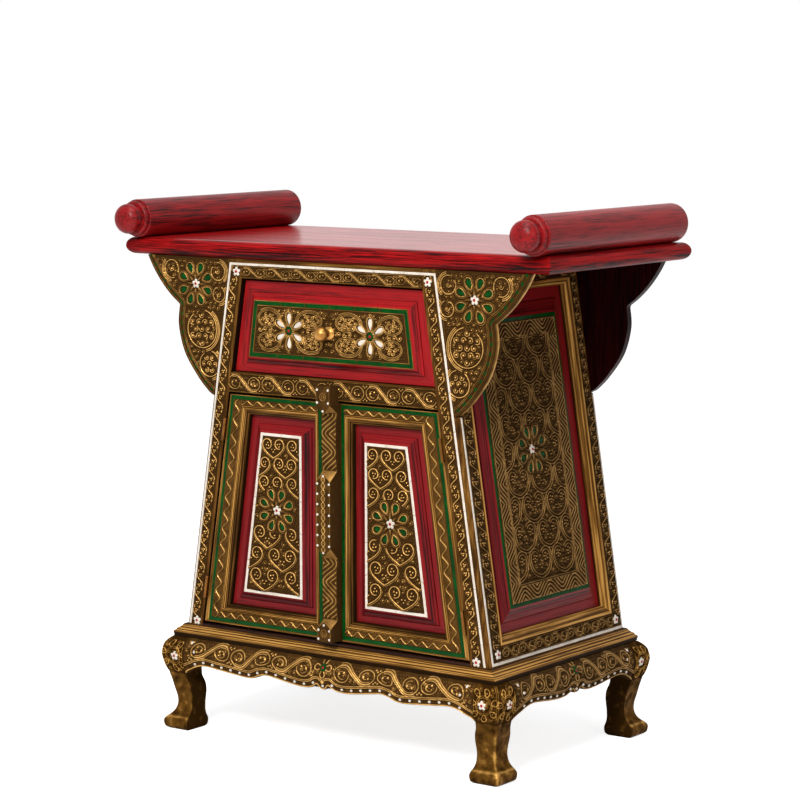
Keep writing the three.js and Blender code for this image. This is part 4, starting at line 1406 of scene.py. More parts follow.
knob_sections = [
    rounded([[0.05, 1.7], [9.2, 1.7]], 1),
    rounded([[9.4, 1.9], [10.6, 3.0], [9.6, 4.6], [8.0, 5.4]]),
    rounded([[7.8, 5.6], [5.6, 7.4], [4.6, 10.6], [5.2, 13.6], [6.4, 15.0]]),
    rounded([[6.8, 15.2], [9.8, 17.2], [11.6, 21.4], [11.3, 25.6], [8.6, 30.2], [4.4, 32.8], [0.05, 33.4]]),
]
knob = turned(knob_sections, 48, on_knob_axis, "y")
make_piece("drawer_knob_turned", knob, brass, "drawer", ["drawer_knob"], sharp=50)

SCROLL_REAR = 187
scroll_profile = [
    rounded([
        [0.05, -240.5], [9, -240.1], [17, -237.2], [22.2, -231.8], [24, -225.6], [23.2, -219.6],
        [20.8, -216],
    ]),
    rounded([[20.4, -215.4], [20.2, -214.4], [20.6, -213.4]], 3),
    rounded([[21.5, -213.2], [26.2, -212.2], [28.2, -208.4], [27.2, -204.8]]),
    rounded([[27.2, -204.2], [29.6, -203.6], [30.4, -202.4], [30.5, -200.6]]),
    rounded([[30.5, -199], [30.5, 181]], 12),
    rounded([[30.4, 182.4], [29.8, 184.6], [27.6, 186.4], [24, SCROLL_REAR], [0.05, SCROLL_REAR]]),
]


def add_scroll(name):
    """A scroll on one end of the top board; it runs with the depth."""
    low, high = corners(f"{name}_scroll")
    centre_x, centre_z = ((low + high) / 2)[[0, 2]]
    shift = high[1] - SCROLL_REAR

    def place(across, up, along):
        return stacked(centre_x + across, along + shift, centre_z + up)

    scroll = turned(scroll_profile, 96, place, "y")
    make_piece(f"{name}_scroll_turned", scroll, scroll_lacquer,
               stands_for=[f"{name}_scroll"], sharp=50)


for name in SIDES:
    add_scroll(name)

# %% [markdown]
# ## Top board
#
# A plain board with a half-round edge planted round it, mitred at the corners. The edge is
# a mitred frame whose profile is a half circle: inset r (1 - cos a), height r (1 + sin a).

# %% Top board
board_half = (board_box[1] - board_box[0])[:2] / 2
edge_radius = (BOARD_TOP - BOARD_BOTTOM) / 2


def rectangle(half_x, half_y):
    """Rectangle about the origin, counter-clockwise from the lower left."""
    return trapezoid(-half_y, half_y, half_x, half_x)


edge_turn = np.linspace(math.pi / 2, -math.pi / 2, 21)
edge_outlines = [rectangle(*(board_half - edge_radius * (1 - math.cos(a)))) for a in edge_turn]
edge_heights = BOARD_BOTTOM + edge_radius * (1 + np.sin(edge_turn))
edge_core = [rectangle(*(board_half - edge_radius - 0.02))] * len(edge_turn)
# The half-round edge darkens towards its underside: painted shade.
edge_shade_below = np.interp(edge_heights, [BOARD_BOTTOM, BOARD_TOP - 3, BOARD_TOP], [0.2, 0.34, 0.5])
top_solid = joined([
    mitred_frame(edge_outlines, edge_heights, edge_core, edge_heights, flat, edge_shade_below),
    slab(rectangle(*(board_half - edge_radius)), BOARD_BOTTOM, BOARD_TOP, flat),
])
make_piece("top_board_lacquered", top_solid, top_lacquer, stands_for=["top_board"])

# %% [markdown]
# ## Coloured inlay on the front
#
# White lines run up both posts and under the top board, and small white flowers with red
# middles mark the corners.

# %% White lines, flowers and wing inlay
LINE_ENDS = (STAND_TOP + 1.2, FRONT_LINE_TOP)
LINE_PIECE = 58


def line_edge(sign, z, inwards=0.0):
    """Point of a white line's edge, by the bevel of a post or further in."""
    return sign * (float(side_at(z)) - EDGE_BEVEL - 0.2 - inwards), z


def front_lines():
    """White inlay up both posts and under the top board, mitred at the corners."""
    low, high = LINE_ENDS
    outer = [[line_edge(sign, z) for z in (low, high)] for sign in (-1, 1)]
    inner = [[line_edge(sign, z, WHITE_LINE) for z in (low, high - WHITE_LINE)] for sign in (-1, 1)]
    strips = [(outer[k][0], outer[k][1], inner[k][1], inner[k][0]) for k in (0, 1)]
    strips.append((outer[0][1], outer[1][1], inner[1][1], inner[0][1]))
    return np.concatenate([cut_strip(*edges, LINE_PIECE) for edges in strips])


white, green, red = [tiles(front_lines(), 0.5, on_front)], [], []


def small_flowers(centres, place, level=0.3):
    """White five-petalled flowers with red middles, added to the lists of inlay."""
    white.append(blossoms(7.6, centres, 1.5, place, level))
    red.append(dots(2.3, centres, 0.7, place, level + 1.4))


small_flowers((SMALL_FLOWERS[:, None] * [[1, 1], [-1, 1]]).reshape(-1, 2), on_front)

edge_run = run_of(edge_path)
dash_middles = np.arange(9, edge_run[-1] - 4, 16.0)


def dash_corner(along, distance):
    """One corner of every dash: along from its middle, and inwards from the wing's edge."""
    path = parallel(edge_path, distance)
    return np.stack([np.interp(dash_middles + along, edge_run, path[:, k]) for k in (0, 1)], -1)


dash = ((-3.1, 4.6), (3.1, 4.6), (3.1, 8.5), (-3.1, 8.5))
dashes = np.stack([dash_corner(*corner) for corner in dash], 1)
on_wing = raised(on_front, WING_GROUND)
for sign in (-1, 1):
    green.append(tiles(dashes * [sign, 1], 0.9, on_wing))
    green.append(pebbles(WING_FLOWER.petals(sign), 1.7, on_wing))
    small_flowers(WING_FLOWER.middle(sign), on_wing)

# %% [markdown]
# ## Doors
#
# Each door is a mitred frame round a raised panel. A green line runs round the frame, with
# a zigzag cord inside it on three sides, and a gilt moulding falls to the red panel. The
# panel rises again to a field with a white line round the carving.

# %% Door frames and panels
DOOR_LOW, DOOR_HIGH = 181, 554.5
DOOR_DEPTH = 21
DOOR_START = 19
DOOR_PLAY = 2
BAR_LIP = -17
LEAN = 0.144
LEAN_LEVEL = 498
GREEN_LOW, GREEN_HIGH = 190.5, 547
CREST_START, CREST_EDGE = 25.6, 184.3
PANEL_GROUND, PANEL_FIELD, PANEL_BACK = -12.7, -2.7, -17.7


def leaning(edge, z):
    """Line with the lean of the door's edge, from its distance at LEAN_LEVEL."""
    return edge + (LEAN_LEVEL - np.asarray(z, float)) * LEAN


def quad(low, high, left, right):
    """Outline between two heights, with its right edge leaning like the door's panel."""
    return np.array([[left, low], [leaning(right, low), low], [leaning(right, high), high], [left, high]])


door_outer = np.array([
    [DOOR_START, DOOR_LOW], [opening_at(DOOR_LOW) - DOOR_PLAY, DOOR_LOW],
    [opening_at(DOOR_HIGH) - DOOR_PLAY, DOOR_HIGH], [DOOR_START, DOOR_HIGH],
])
green_ring = [quad(184, 553, 19.4, 208.3), quad(GREEN_LOW, GREEN_HIGH, 25.2, 202.3)]
crest_ring = quad(202, 538, CREST_START, CREST_EDGE)
panel_ring = quad(213.6, 523, 38, 170.8)
base_ring = quad(224, 510.5, 48, 157.7)
field_ring = quad(237.7, 497, 62, 143.4)
gilt_fall = [
    (0.0, 0.0), (0.03, 0.9), (0.08, 1.5), (0.13, 0.9), (0.15, 0.3), (0.19, 1.3), (0.27, 2.0),
    (0.35, 1.4), (0.38, 0.2), (0.42, 0.5), (0.47, -0.1), (0.5, -1.0), (0.6, -1.3), (0.7, -2.2),
    (0.73, -3.0), (0.82, -3.5), (0.91, -4.8), (1.0, -6.4),
]
red_climb = [
    (0.0, PANEL_GROUND), (0.04, -11.5), (0.12, -10.5), (0.24, -9.9), (0.32, -9.6), (0.36, -8.6),
    (0.5, -7.9), (0.6, -7.1), (0.68, -5.6), (0.8, -4.2), (0.91, -3.2), (1.0, PANEL_FIELD),
]


def door_frame(sign):
    """Four mitred members; the left door's meeting stile runs on under the pull bar."""
    outlines = [door_outer, inset(door_outer, 0.5), crest_ring]
    outlines += [between(crest_ring, panel_ring, share) for share, _ in gilt_fall[1:]]
    prouds = np.array([-0.5, 0, 0] + [proud for _, proud in gilt_fall[1:]])
    # The last steps of the gilt fall, down next to the red panel, are darkened: painted shade in the
    # recess.
    relief = wear(prouds) - np.interp(np.arange(len(prouds)), [13, 15], [0.0, 0.3])
    solids = [mitred_frame(outlines, prouds, outlines, -DOOR_DEPTH, on_door(sign), relief)]
    if sign < 0:
        lip_end = DOOR_START - 0.05
        lip = [[BAR_LIP, DOOR_LOW], [lip_end, DOOR_LOW], [lip_end, DOOR_HIGH], [BAR_LIP, DOOR_HIGH]]
        solids.append(slab(lip, -DOOR_DEPTH, 0, on_door(sign), grain="z"))
    return joined(solids)


def door_panel(place):
    """Panel with a flat rim, a slope in steps and a raised field."""
    rim = inset(panel_ring, 0.1)
    flat_part = [(0, PANEL_GROUND), (1, PANEL_GROUND)]
    return joined([
        moulding(rim, base_ring, flat_part, PANEL_BACK, place),
        # Painted side light on the climb: its upper member lighter and the others darker, as light from
        # above falls.
        moulding(base_ring, field_ring, red_climb, PANEL_BACK, place, 0.14, (-0.12, -0.06, 0.34, -0.06)),
        slab(field_ring, PANEL_BACK, PANEL_FIELD, place, grain="z"),
    ])


# %% [markdown]
# ### Carving of the doors
#
# The middle of each panel holds a flower with eight green petals. Above and below it lie
# rows of hearts, every second row moved by half a heart, and the ground between them is
# filled with small curls.

# %% Carving of a door
DOOR_FLOWER = Flower((111.5, 375), 8, 26, 13.5, 9, 8.6)
door_field = inset(field_ring, 4.9)
door_left = edge_between(door_field[0], door_field[3])
door_right = edge_between(door_field[1], door_field[2])
door_map = Carving(60, 190, door_field[0, 1], door_field[2, 1])


def heart(carving, centre, spacing, height, lines, bead):
    """Two coils side by side on stems that meet in a point below them, with beads inside.

    A stem is the curve (1 - t)^2 tip + 2 t (1 - t) bend + t^2 shoulder.
    """
    centre = np.asarray(centre, float)
    size = min(spacing * 0.43, height * 0.31)
    tip = centre + [0, -0.5 * height]
    t = np.linspace(0, 1, 14)[:, None]
    for side in (-1, 1):
        eye = centre + [side * spacing * 0.455, 0.16 * height]
        shoulder = eye + [side * size, 0]
        bend = np.array([shoulder[0], tip[1] + (0.12 if lines == 2 else 0.36) * height])
        stem = (1 - t) ** 2 * tip + 2 * t * (1 - t) * bend + t ** 2 * shoulder
        start = 0 if side > 0 else np.pi
        if lines == 2:
            turn = np.radians([30, 102, 174, 246, 318]) * side
            ring = eye + size * 0.36 * unit(turn)
            outside = np.concatenate([stem, spiral(eye, size, size * 0.92, start, 0.4, side)[1:]])
            double_cord(carving, outside, 2.3, 1.1, 1.45)
            carving.bud([eye], bead, 1.7)
        else:
            turn = np.radians([100, 220, 340]) * side
            ring = eye + size * 0.27 * unit(turn)
            outside = np.concatenate([stem, spiral(eye, size, size * 0.62, start, 0.8, side)[1:]])
            carving.cord(outside, 1.25, 1.65)
            carving.cord(parallel(stem, -side * 2.6), 0.9, 1.4)
        carving.bud(ring, bead, 1.75)
    carving.bud(centre + height * np.array([[-0.09, -0.08], [0.09, -0.08], [0, -0.2]]), bead, 1.7)


def rows_of_hearts(carving, row_levels, left, right, across, height, lines=1, bead=1.6):
    """Hearts side by side; every second row is moved by half a heart."""
    for k, level in enumerate(row_levels):
        low, high = float(left(level)), float(right(level))
        spacing = (high - low) / across
        shift = spacing if k % 2 else 0
        for middle in np.arange(low + shift, high + spacing, 2 * spacing):
            heart(carving, (middle, level), spacing, height, lines, bead)


rows_of_hearts(door_map, (474.5, 444.5, 414.5), door_left, door_right, 3, 32)
rows_of_hearts(door_map, (332, 297.5, 263), door_left, door_right, 3, 37, bead=1.8)
FLOWER_ROOM = 38
CURLS_LOW, CURLS_HIGH = 243, 491.5
door_map.clear([(*DOOR_FLOWER.centre, FLOWER_ROOM)])
DOOR_FLOWER.cords(door_map)


def inside_door(u, v, r):
    """True between the leaning edges of the door's carved field."""
    between_edges = (u > door_left(v) + r) & (u < door_right(v) - r)
    return between_edges & (v > CURLS_LOW + r) & (v < CURLS_HIGH - r)


print("curls and beads on a door:", *fill(door_map, inside_door, 4.0, 9.6, 0.14))
DOOR_FLOWER.sink(door_map)


def zigzag_band(length, width, period, swing):
    """Plain band with a rounded zigzag cord between two edge cords, and a notch per bend."""
    band = Carving(0, width, 0, length)
    teeth = max(2, round(length / period))
    pitch = length / teeth
    along = np.linspace(0, length, teeth * 80)
    wave = np.arcsin(0.8 * np.sin(2 * np.pi * along / pitch)) / math.asin(0.8)
    path = stacked(width / 2 + swing * wave, along)
    # Strokes of one slant are stamped higher and render lighter: a painted highlight, as light from one
    # side gives.
    band.stamp(path, 1.2, 1.4 - 0.22 * np.tanh(2 * np.cos(2 * np.pi * along / pitch)))
    edge_cords(band, 0.8, 0.8, 0.8)
    for k in range(2 * teeth):
        hand = 1 if k % 2 == 0 else -1
        middle = np.array([width / 2 - hand * swing * 0.4, (k + 0.5) * pitch / 2])
        legs = swing * 0.34 * np.array([[0, -1.3], [hand, 0], [0, 1.3]])
        band.cord(middle + legs, 0.7, 0.7)
    return band


STILE_BAND = 18
DOOR_STEP = 0.75
hinge_band = zigzag_band(GREEN_HIGH - GREEN_LOW, STILE_BAND, 26, 4.8)
top_band = zigzag_band(168, 9, 21, 2.9)
bottom_band = zigzag_band(206, 11.5, 20, 3.6)


def crest_edge(z):
    """Distance of the hinge stile's crest from the middle of the cabinet."""
    return leaning(CREST_EDGE, z)


def door_bands(sign, place):
    """Carved sheets on the hinge stile and the two rails; bands are turned over on the left."""
    a, v = rows_and_columns(GREEN_LOW, GREEN_HIGH, steady(0.3), steady(17.6), DOOR_STEP)
    # On the left door the bands are turned over, so the painted highlight stays on strokes of the same
    # slant.
    drawn = (a if sign > 0 else STILE_BAND - a, v - GREEN_LOW)
    sheets = [carved_sheet(hinge_band, drawn, (crest_edge(v) + a, v), place, worn=0.28)]
    for band, low, high in ((top_band, 538.2, GREEN_HIGH), (bottom_band, GREEN_LOW, 201.8)):
        u, v = rows_and_columns(low, high, steady(CREST_START), crest_edge, DOOR_STEP)
        u, v = u.T[::-1], v.T[::-1]
        drawn = (v - low if sign > 0 else high - v, u - 25)
        sheets.append(carved_sheet(band, drawn, (u, v), place, worn=0.28))
    return sheets


for name, sign in SIDES.items():
    door = f"{name}_door"
    place = on_door(sign)
    on_field = raised(place, PANEL_FIELD)
    members = [f"{door}_{part}" for part in ("bottom_rail", "hinge_stile", "top_rail", "meeting_stile")]
    make_piece(f"{door}_frame", door_frame(sign), gold_trim, door, members)
    make_piece(f"{door}_panel_lacquered", door_panel(place), panel_lacquer, door,
               [f"{door}_panel"])
    grid = rows_and_columns(door_field[0, 1], door_field[2, 1], door_left, door_right, 0.6)
    door_sheet = carved_sheet(door_map, grid, grid, on_field, 0.15)
    make_piece(f"{door}_panel_carving", door_sheet, gilt, door)
    make_piece(f"{door}_frame_carving", joined(door_bands(sign, place)), gilt, door)
    door_green = [
        tiles(cut_ring(*green_ring, 60), 0.5, place),
        pebbles(DOOR_FLOWER.petals(), 1.6, on_field),
    ]
    make_piece(f"{door}_green_inlay", joined(door_green), green_inlay, door)
    door_white = [
        tiles(cut_ring(field_ring, inset(field_ring, 4.6), 52), 0.5, on_field),
        blossoms(8, DOOR_FLOWER.centre, 1.6, on_field, 0.3),
    ]
    make_piece(f"{door}_white_inlay", joined(door_white), white_inlay, door)
    door_red = dots(2.3, DOOR_FLOWER.centre, 0.7, on_field, 1.8)
    make_piece(f"{door}_red_dot", door_red, red_inlay, door)

# %% [markdown]
# ## Pull bar
#
# The bar between the doors stands on the left door. Its outline is a path of (proud,
# height); the carved surface follows that path, with the carving drawn on it as if it were
# unrolled.

# %% Pull bar
BAR_LEFT, BAR_RIGHT = -10.7, 17.0
BAR_WIDTH = BAR_RIGHT - BAR_LEFT
BAR_FACE = 24
SNAKE_LOW, SNAKE_HIGH = 323, 443
bar_corners = [
    (22.5, 182, 0), (BAR_FACE, 184, 0), (BAR_FACE, 203, 12), (6, 216, 0), (9, 238, 0), (9, 292, 0),
    (6, 312, 0), (BAR_FACE, 331, -13), (BAR_FACE, 434, 13), (6, 450, 0), (9, 472, 0), (9, 521, 0),
    (6, 540, 0), (BAR_FACE, 554, -14), (BAR_FACE, 581, 0), (22, 583.5, 0),
]
bar_map = Carving(0, BAR_WIDTH, 180, 586)
bar_u, bar_z = bar_map.cells()
for low, high in ((217, 312), (450, 541)):
    lines = wave_lines(bar_z - low, bar_u, 58, BAR_WIDTH, 6.2, 0.22, 1.35)
    bar_map.height = np.where((bar_z > low) & (bar_z < high), lines, bar_map.height)
for low, high in ((184, 204), (330, 435), (553, 581)):
    edge_cords(bar_map, 1.4, 1.0, 1.1, low, high)
bar_middle = BAR_WIDTH / 2
snake = np.linspace(SNAKE_LOW, SNAKE_HIGH, 300)
for k in range(2):
    swing = 3.4 * np.sin(2 * np.pi * (snake - SNAKE_LOW) / 20 + k * np.pi)
    bar_map.cord(stacked(bar_middle + swing, snake), 1.1, 1.5)
bar_map.bud([(bar_middle, SNAKE_LOW + 5 + 10 * k) for k in range(12)], 1.5, 1.5)
for level in (196, 566):
    for size in (5.6, 2.6):
        bar_map.cord(spiral((bar_middle, level), size, size, 0, 1), 0.95, 1.3)


def bar_solid():
    """Rows between the corners of the outline; a corner's level shifts most at mid width.

    The shift draws each raised block out to a point, and carving lies on the level parts.
    """
    across = np.linspace(0, BAR_WIDTH, 40)
    point = 1 - np.abs(across / bar_middle - 1)
    rows, flat_rows = [], []
    for (p0, z0, s0), (p1, z1, s1) in zip(bar_corners[:-1], bar_corners[1:]):
        share = np.linspace(0, 1, max(3, int((z1 - z0) / 0.85)), endpoint=False)[:, None]
        start, end = z0 + s0 * point, z1 + s1 * point
        rows.append(stacked(start + (end - start) * share, p0 + (p1 - p0) * share))
        flat_rows.append(np.full(len(share), abs(p1 - p0) < 4))
    surface, level_part = np.concatenate(rows), np.concatenate(flat_rows)[:, None]
    z, proud = surface[..., 0], surface[..., 1]
    height = bar_map.at(np.broadcast_to(across, z.shape), z) * level_part
    edge_round = sum(np.clip(1 - gap / 1.1, 0, 1) ** 2 for gap in (across, BAR_WIDTH - across))
    front = on_front(BAR_LEFT + across, z, proud + 0.7 * height - 0.8 * edge_round)
    back = np.interp(z[:, 0], [553, 556.5], [-2.0, 0.8])
    rails = [on_front(x, z[:, 0], back) for x in (BAR_LEFT, BAR_RIGHT)]
    relief = np.where(level_part, 0.14 + 0.8 * crest_of(height), 0.66)
    # The side faces of the bar get the darkest tone: a dark side, darkened further as painted shade.
    relief = np.where(np.abs(across - bar_middle) > bar_middle - 0.3, 0.05, relief)
    return backed_sheet(front, *rails, relief=relief, rail_relief=0.0)


make_piece("door_pull_bar_carved", bar_solid(), gilt, "left_door", ["door_pull_bar"])

dot_places = [(x, z) for x in (-8.3, 14.6) for z in np.linspace(334, 431, 7)]
dot_places += [(BAR_LEFT + bar_middle - 0.05, z) for z in (SNAKE_LOW, SNAKE_HIGH, 209, 544)]
for ends in ((187, 201), (557, 577)):
    dot_places += [(x, z) for x in (-7.6, 13.8) for z in ends]
make_piece("pull_bar_dots", dots(2.0, dot_places, 1.2, on_front, BAR_FACE), white_inlay, "left_door")

# %% [markdown]
# ## Sides
#
# Each side has carved posts and rails round a gilt moulding, a stepped red slope and a
# raised panel. The panel has a border of wave lines, and rows of hearts round a flower
# inside it. The work is drawn once and placed on both sides.

# %% Side posts and rails
RAIL_REACH = 156.7
POST_START = 157.2
SIDE_FOOT = 181
SIDE_STEP = 0.9
FOOT_FLOWER = np.array([166, 191])


def side_post(low, high, width, period):
    """A post's carved band, with its place: lowest and highest level, and width."""
    return upright_band(high - low, width, period), low, high, width


side_posts = [side_post(SIDE_FOOT, 549, 22.4, 30), side_post(551, 769, 16.4, 24)]
side_posts[0][0].clear([(*(FOOT_FLOWER - [POST_START, SIDE_FOOT]), SMALL_SEAT)])
side_rails = [
    lying_band(RAIL_REACH, SIDE_FOOT, 201.6, 46, 1.1, 1.5),
    lying_band(RAIL_REACH, 738.6, 769.4, 60, 1.1, 1.5),
]


def side_frame_sheets(place):
    """Carved sheets on both posts, below and beside the wings, and on both rails."""
    sheets = []
    for edge in (-1, 1):
        for band, low, high, width in side_posts:
            a, v = rows_and_columns(low, high, steady(0), steady(width), SIDE_STEP)
            sheets.append(carved_sheet(band, (a, v - low), (edge * (POST_START + a), v), place))
    for band in side_rails:
        low, high = band.low[1], band.high[1]
        grid = rows_and_columns(low, high, steady(-RAIL_REACH), steady(RAIL_REACH), SIDE_STEP)
        sheets.append(carved_sheet(band, grid, grid, place))
    return sheets


def side_lines():
    """White inlay: one line along the foot, and an upright below each wing."""
    outer, inner, foot, sill, head = 184, 180, 175.2, 179.6, 548.6
    strips = [((-outer, foot), (outer, foot), (inner, sill), (-inner, sill))]
    for edge in (-1, 1):
        a, b = edge * outer, edge * inner
        strips.append(((a, foot), (a, head), (b, head), (b, sill)))
    return np.concatenate([cut_strip(*edges, LINE_PIECE) for edges in strips])


# %% Side mouldings and panels
SIDE_LOW, SIDE_HIGH = 202, 738
SIDE_FRAME = 13
SIDE_GROUND, SIDE_LEVEL, SIDE_BACK = -13.8, -5.4, -23.8


def upright(low, high, half):
    """Rectangle between two levels, as wide on both sides of the middle."""
    return trapezoid(low, high, half, half)


side_outer = upright(SIDE_LOW, SIDE_HIGH, RAIL_REACH)
side_inner = upright(SIDE_LOW + SIDE_FRAME, SIDE_HIGH - SIDE_FRAME, RAIL_REACH - SIDE_FRAME)
side_base, side_bead = upright(229, 706, 129), upright(239, 696, 119)
side_field = upright(250, 685, 111)
side_fall = [
    (0.0, 0.0), (0.05, 1.2), (0.18, 2.0), (0.34, 1.7), (0.44, 0.5), (0.48, -0.8), (0.64, -1.8),
    (0.8, -3.4), (0.92, -5.6), (1.0, -8.0), (1.0, -13.4),
]
first_climb = [
    (0.0, SIDE_GROUND), (0.06, -12.5), (0.2, -11.4), (0.42, -10.7), (0.6, -10.3), (0.8, -9.9),
    (1.0, -9.5),
]
second_climb = [
    (0.0, -9.5), (0.1, -8.7), (0.28, -8.0), (0.52, -7.4), (0.74, -6.2), (0.9, -5.6), (1.0, SIDE_LEVEL),
]


def side_panel_solid(place):
    """Panel with a flat rim, two slopes in steps and a raised field."""
    flat_part = [(0, SIDE_GROUND), (1, SIDE_GROUND)]
    return joined([
        moulding(inset(side_inner, 0.1), side_base, flat_part, SIDE_BACK, place),
        moulding(side_base, side_bead, first_climb, SIDE_BACK, place, 0.15),
        moulding(side_bead, side_field, second_climb, SIDE_BACK, place, 0.15),
        slab(side_field, SIDE_BACK, SIDE_LEVEL, place, grain="z"),
    ])


# %% Carving of the side panels
SIDE_FLOWER = Flower((0, 481), 8, 28, 15, 10, 8.2)
BORDER = 23
HEART_REACH = 81.0
CARVED_LOW, CARVED_HIGH, CARVED_HALF = 256.4, 678.6, 104.6
side_carved = upright(CARVED_LOW, CARVED_HIGH, CARVED_HALF)
lattice = upright(CARVED_LOW + BORDER, CARVED_HIGH - BORDER, CARVED_HALF - BORDER)
side_map = Carving(-CARVED_HALF, CARVED_HALF, CARVED_LOW, CARVED_HIGH)
HEART_MIDDLE, HEART_PITCH = 477, 42
heart_levels = HEART_MIDDLE + HEART_PITCH * np.arange(-4, 5)
rows_of_hearts(side_map, heart_levels, steady(-HEART_REACH), steady(HEART_REACH), 5, 44, 2)
side_map.clear([(*SIDE_FLOWER.centre, FLOWER_ROOM + 2)])
SIDE_FLOWER.cords(side_map)


def wave_border(carving, outline, width, period):
    """Wave lines round a four-sided field; each cell belongs to the edge it is nearest to."""
    u, v = carving.cells()
    low, high = outline[0], outline[2]
    from_upright = np.minimum(u - low[0], high[0] - u)
    from_level = np.minimum(v - low[1], high[1] - v)
    depth = np.minimum(from_upright, from_level)
    periods = (high - low) / np.round((high - low) / period)
    level_lines = wave_lines(u - low[0], depth, periods[0], width, 5.8)
    upright_lines = wave_lines(v - low[1], depth, periods[1], width, 5.8)
    border = np.where(from_upright < from_level, upright_lines, level_lines)
    carving.height = np.where(depth < width, border, carving.height)


wave_border(side_map, side_carved, BORDER, 64)
for loop in (inset(side_carved, 0.9), lattice, inset(lattice, 2.6)):
    side_map.cord(closed(loop), 1.0, 1.4)


def inside_side(u, v, r):
    """True inside the wave border and its two cords."""
    half, low, high = 78, 283, 652
    return (abs(u) < half - r) & (v > low + r) & (v < high - r)


print("curls and beads on a side:", *fill(side_map, inside_side, 4.0, 9.6, 0.05))
SIDE_FLOWER.sink(side_map)

CARVED_MIDDLE = (CARVED_LOW + CARVED_HIGH) / 2
halves = (("lower", CARVED_LOW, CARVED_MIDDLE), ("upper", CARVED_MIDDLE, CARVED_HIGH))
for name, sign in SIDES.items():
    place = on_side(sign)
    on_field = raised(place, SIDE_LEVEL)
    make_piece(f"{name}_side_frame_carving", joined(side_frame_sheets(place)), dull_gilt)
    make_piece(f"{name}_side_moulding_gilt", moulding(side_outer, side_inner, side_fall, -13.5, place),
               gold_trim, stands_for=[f"{name}_side_moulding"])
    make_piece(f"{name}_side_panel_lacquered", side_panel_solid(place), panel_lacquer,
               stands_for=[f"{name}_side_panel"])
    for part, low, high in halves:
        grid = rows_and_columns(low, high, steady(-CARVED_HALF), steady(CARVED_HALF), 0.88)
        sheet = carved_sheet(side_map, grid, grid, on_field, 0.15, worn=0.1)
        make_piece(f"{name}_side_panel_carving_{part}", sheet, dull_gilt)
    white.append(tiles(side_lines(), 0.5, place))
    small_flowers([FOOT_FLOWER, FOOT_FLOWER * [-1, 1]], place)
    green.append(tiles(cut_ring(side_field, inset(side_field, 6), 60), 0.5, on_field))
    green.append(pebbles(SIDE_FLOWER.petals(), 1.5, on_field))
    small_flowers(SIDE_FLOWER.centre, on_field)

# %% [markdown]
# ## Stand
#
# The stand's top is an ogee moulding, and its aprons swell outwards and end below in a
# scalloped edge. The swell, the scallops and the legs' outlines are all read from the CAD
# nodes and drawn as smooth curves. Cords follow the scallops, with white studs beside
# them and a chain of scrolls above.

# %% Stand top
STAND_LINES = 73
CORE_INSET = 30
stand_z, stand_x = levels("stand_top", 2, 0, 1)
stand_y = levels("stand_top", 2, 1, 1)[1]
step = np.arange(STAND_LINES)
knots = np.arange(len(stand_z))
fine = np.linspace(0, len(stand_z) - 1, STAND_LINES)
reeds = np.abs(np.sin(np.pi * step / 12))
curve_x, curve_y, curve_z = (smooth_curve(knots, line, fine) for line in (stand_x, stand_y, stand_z))
curve_x += 0.9 * reeds - 0.9
curve_y += 0.9 * reeds - 0.9
stand_relief = np.clip(0.12 + 0.82 * reeds ** 0.7, 0, 1)
stand_relief *= np.interp(step, [0, 15, 21, 58, 72], [0.1, 0.1, 1, 1, 0.4])
stand_outlines = [rectangle(x, y) for x, y in zip(curve_x, curve_y)]
core_x, core_y = stand_x.min() - CORE_INSET, stand_y.min() - CORE_INSET
stand_core = [rectangle(core_x, core_y)] * STAND_LINES
stand_solid = joined([
    mitred_frame(stand_outlines, curve_z, stand_core, curve_z, flat, stand_relief),
    slab(rectangle(core_x - 0.05, core_y - 0.05), stand_z[0], stand_z[-1], flat),
])
make_piece("stand_top_moulded", stand_solid, gold_trim, stands_for=["stand_top"])

# %% Lines of the legs and aprons
leg_z, leg_x = levels("front_right_leg", 2, 0, 1)
leg_y = levels("front_right_leg", 2, 1, -1)[1]
inner_z, inner_x = levels("front_right_leg", 2, 0, -1)
ANKLE = 8
ankle = np.searchsorted(leg_z, ANKLE)
FOOT = np.array([leg_x[ankle], -leg_y[ankle]])
APRON_HIGH = leg_z[-1]
APRON_BACK = 20
APRON_BAND = 14.5
STUD_LIFT = 6.1
APRON_FLOWER = (0, APRON_HIGH - 11)


def swell(z):
    """How far the outer face of legs and aprons stands out from the foot, by height."""
    return smooth_curve(leg_z, leg_x, np.asarray(z, float)) - FOOT[0]


def facing(axis, out, u, v):
    """Point at height v that is out along one axis of the floor (0 or 1) and u along the other."""
    return stacked(out, u, v) if axis == 0 else stacked(u, out, v)


def on_apron(axis, sign):
    """Outer face of an apron: axis 1 is front and rear, axis 0 the two sides."""
    return lambda u, v, proud: facing(axis, sign * (FOOT[axis] + swell(v) + proud), u, v)


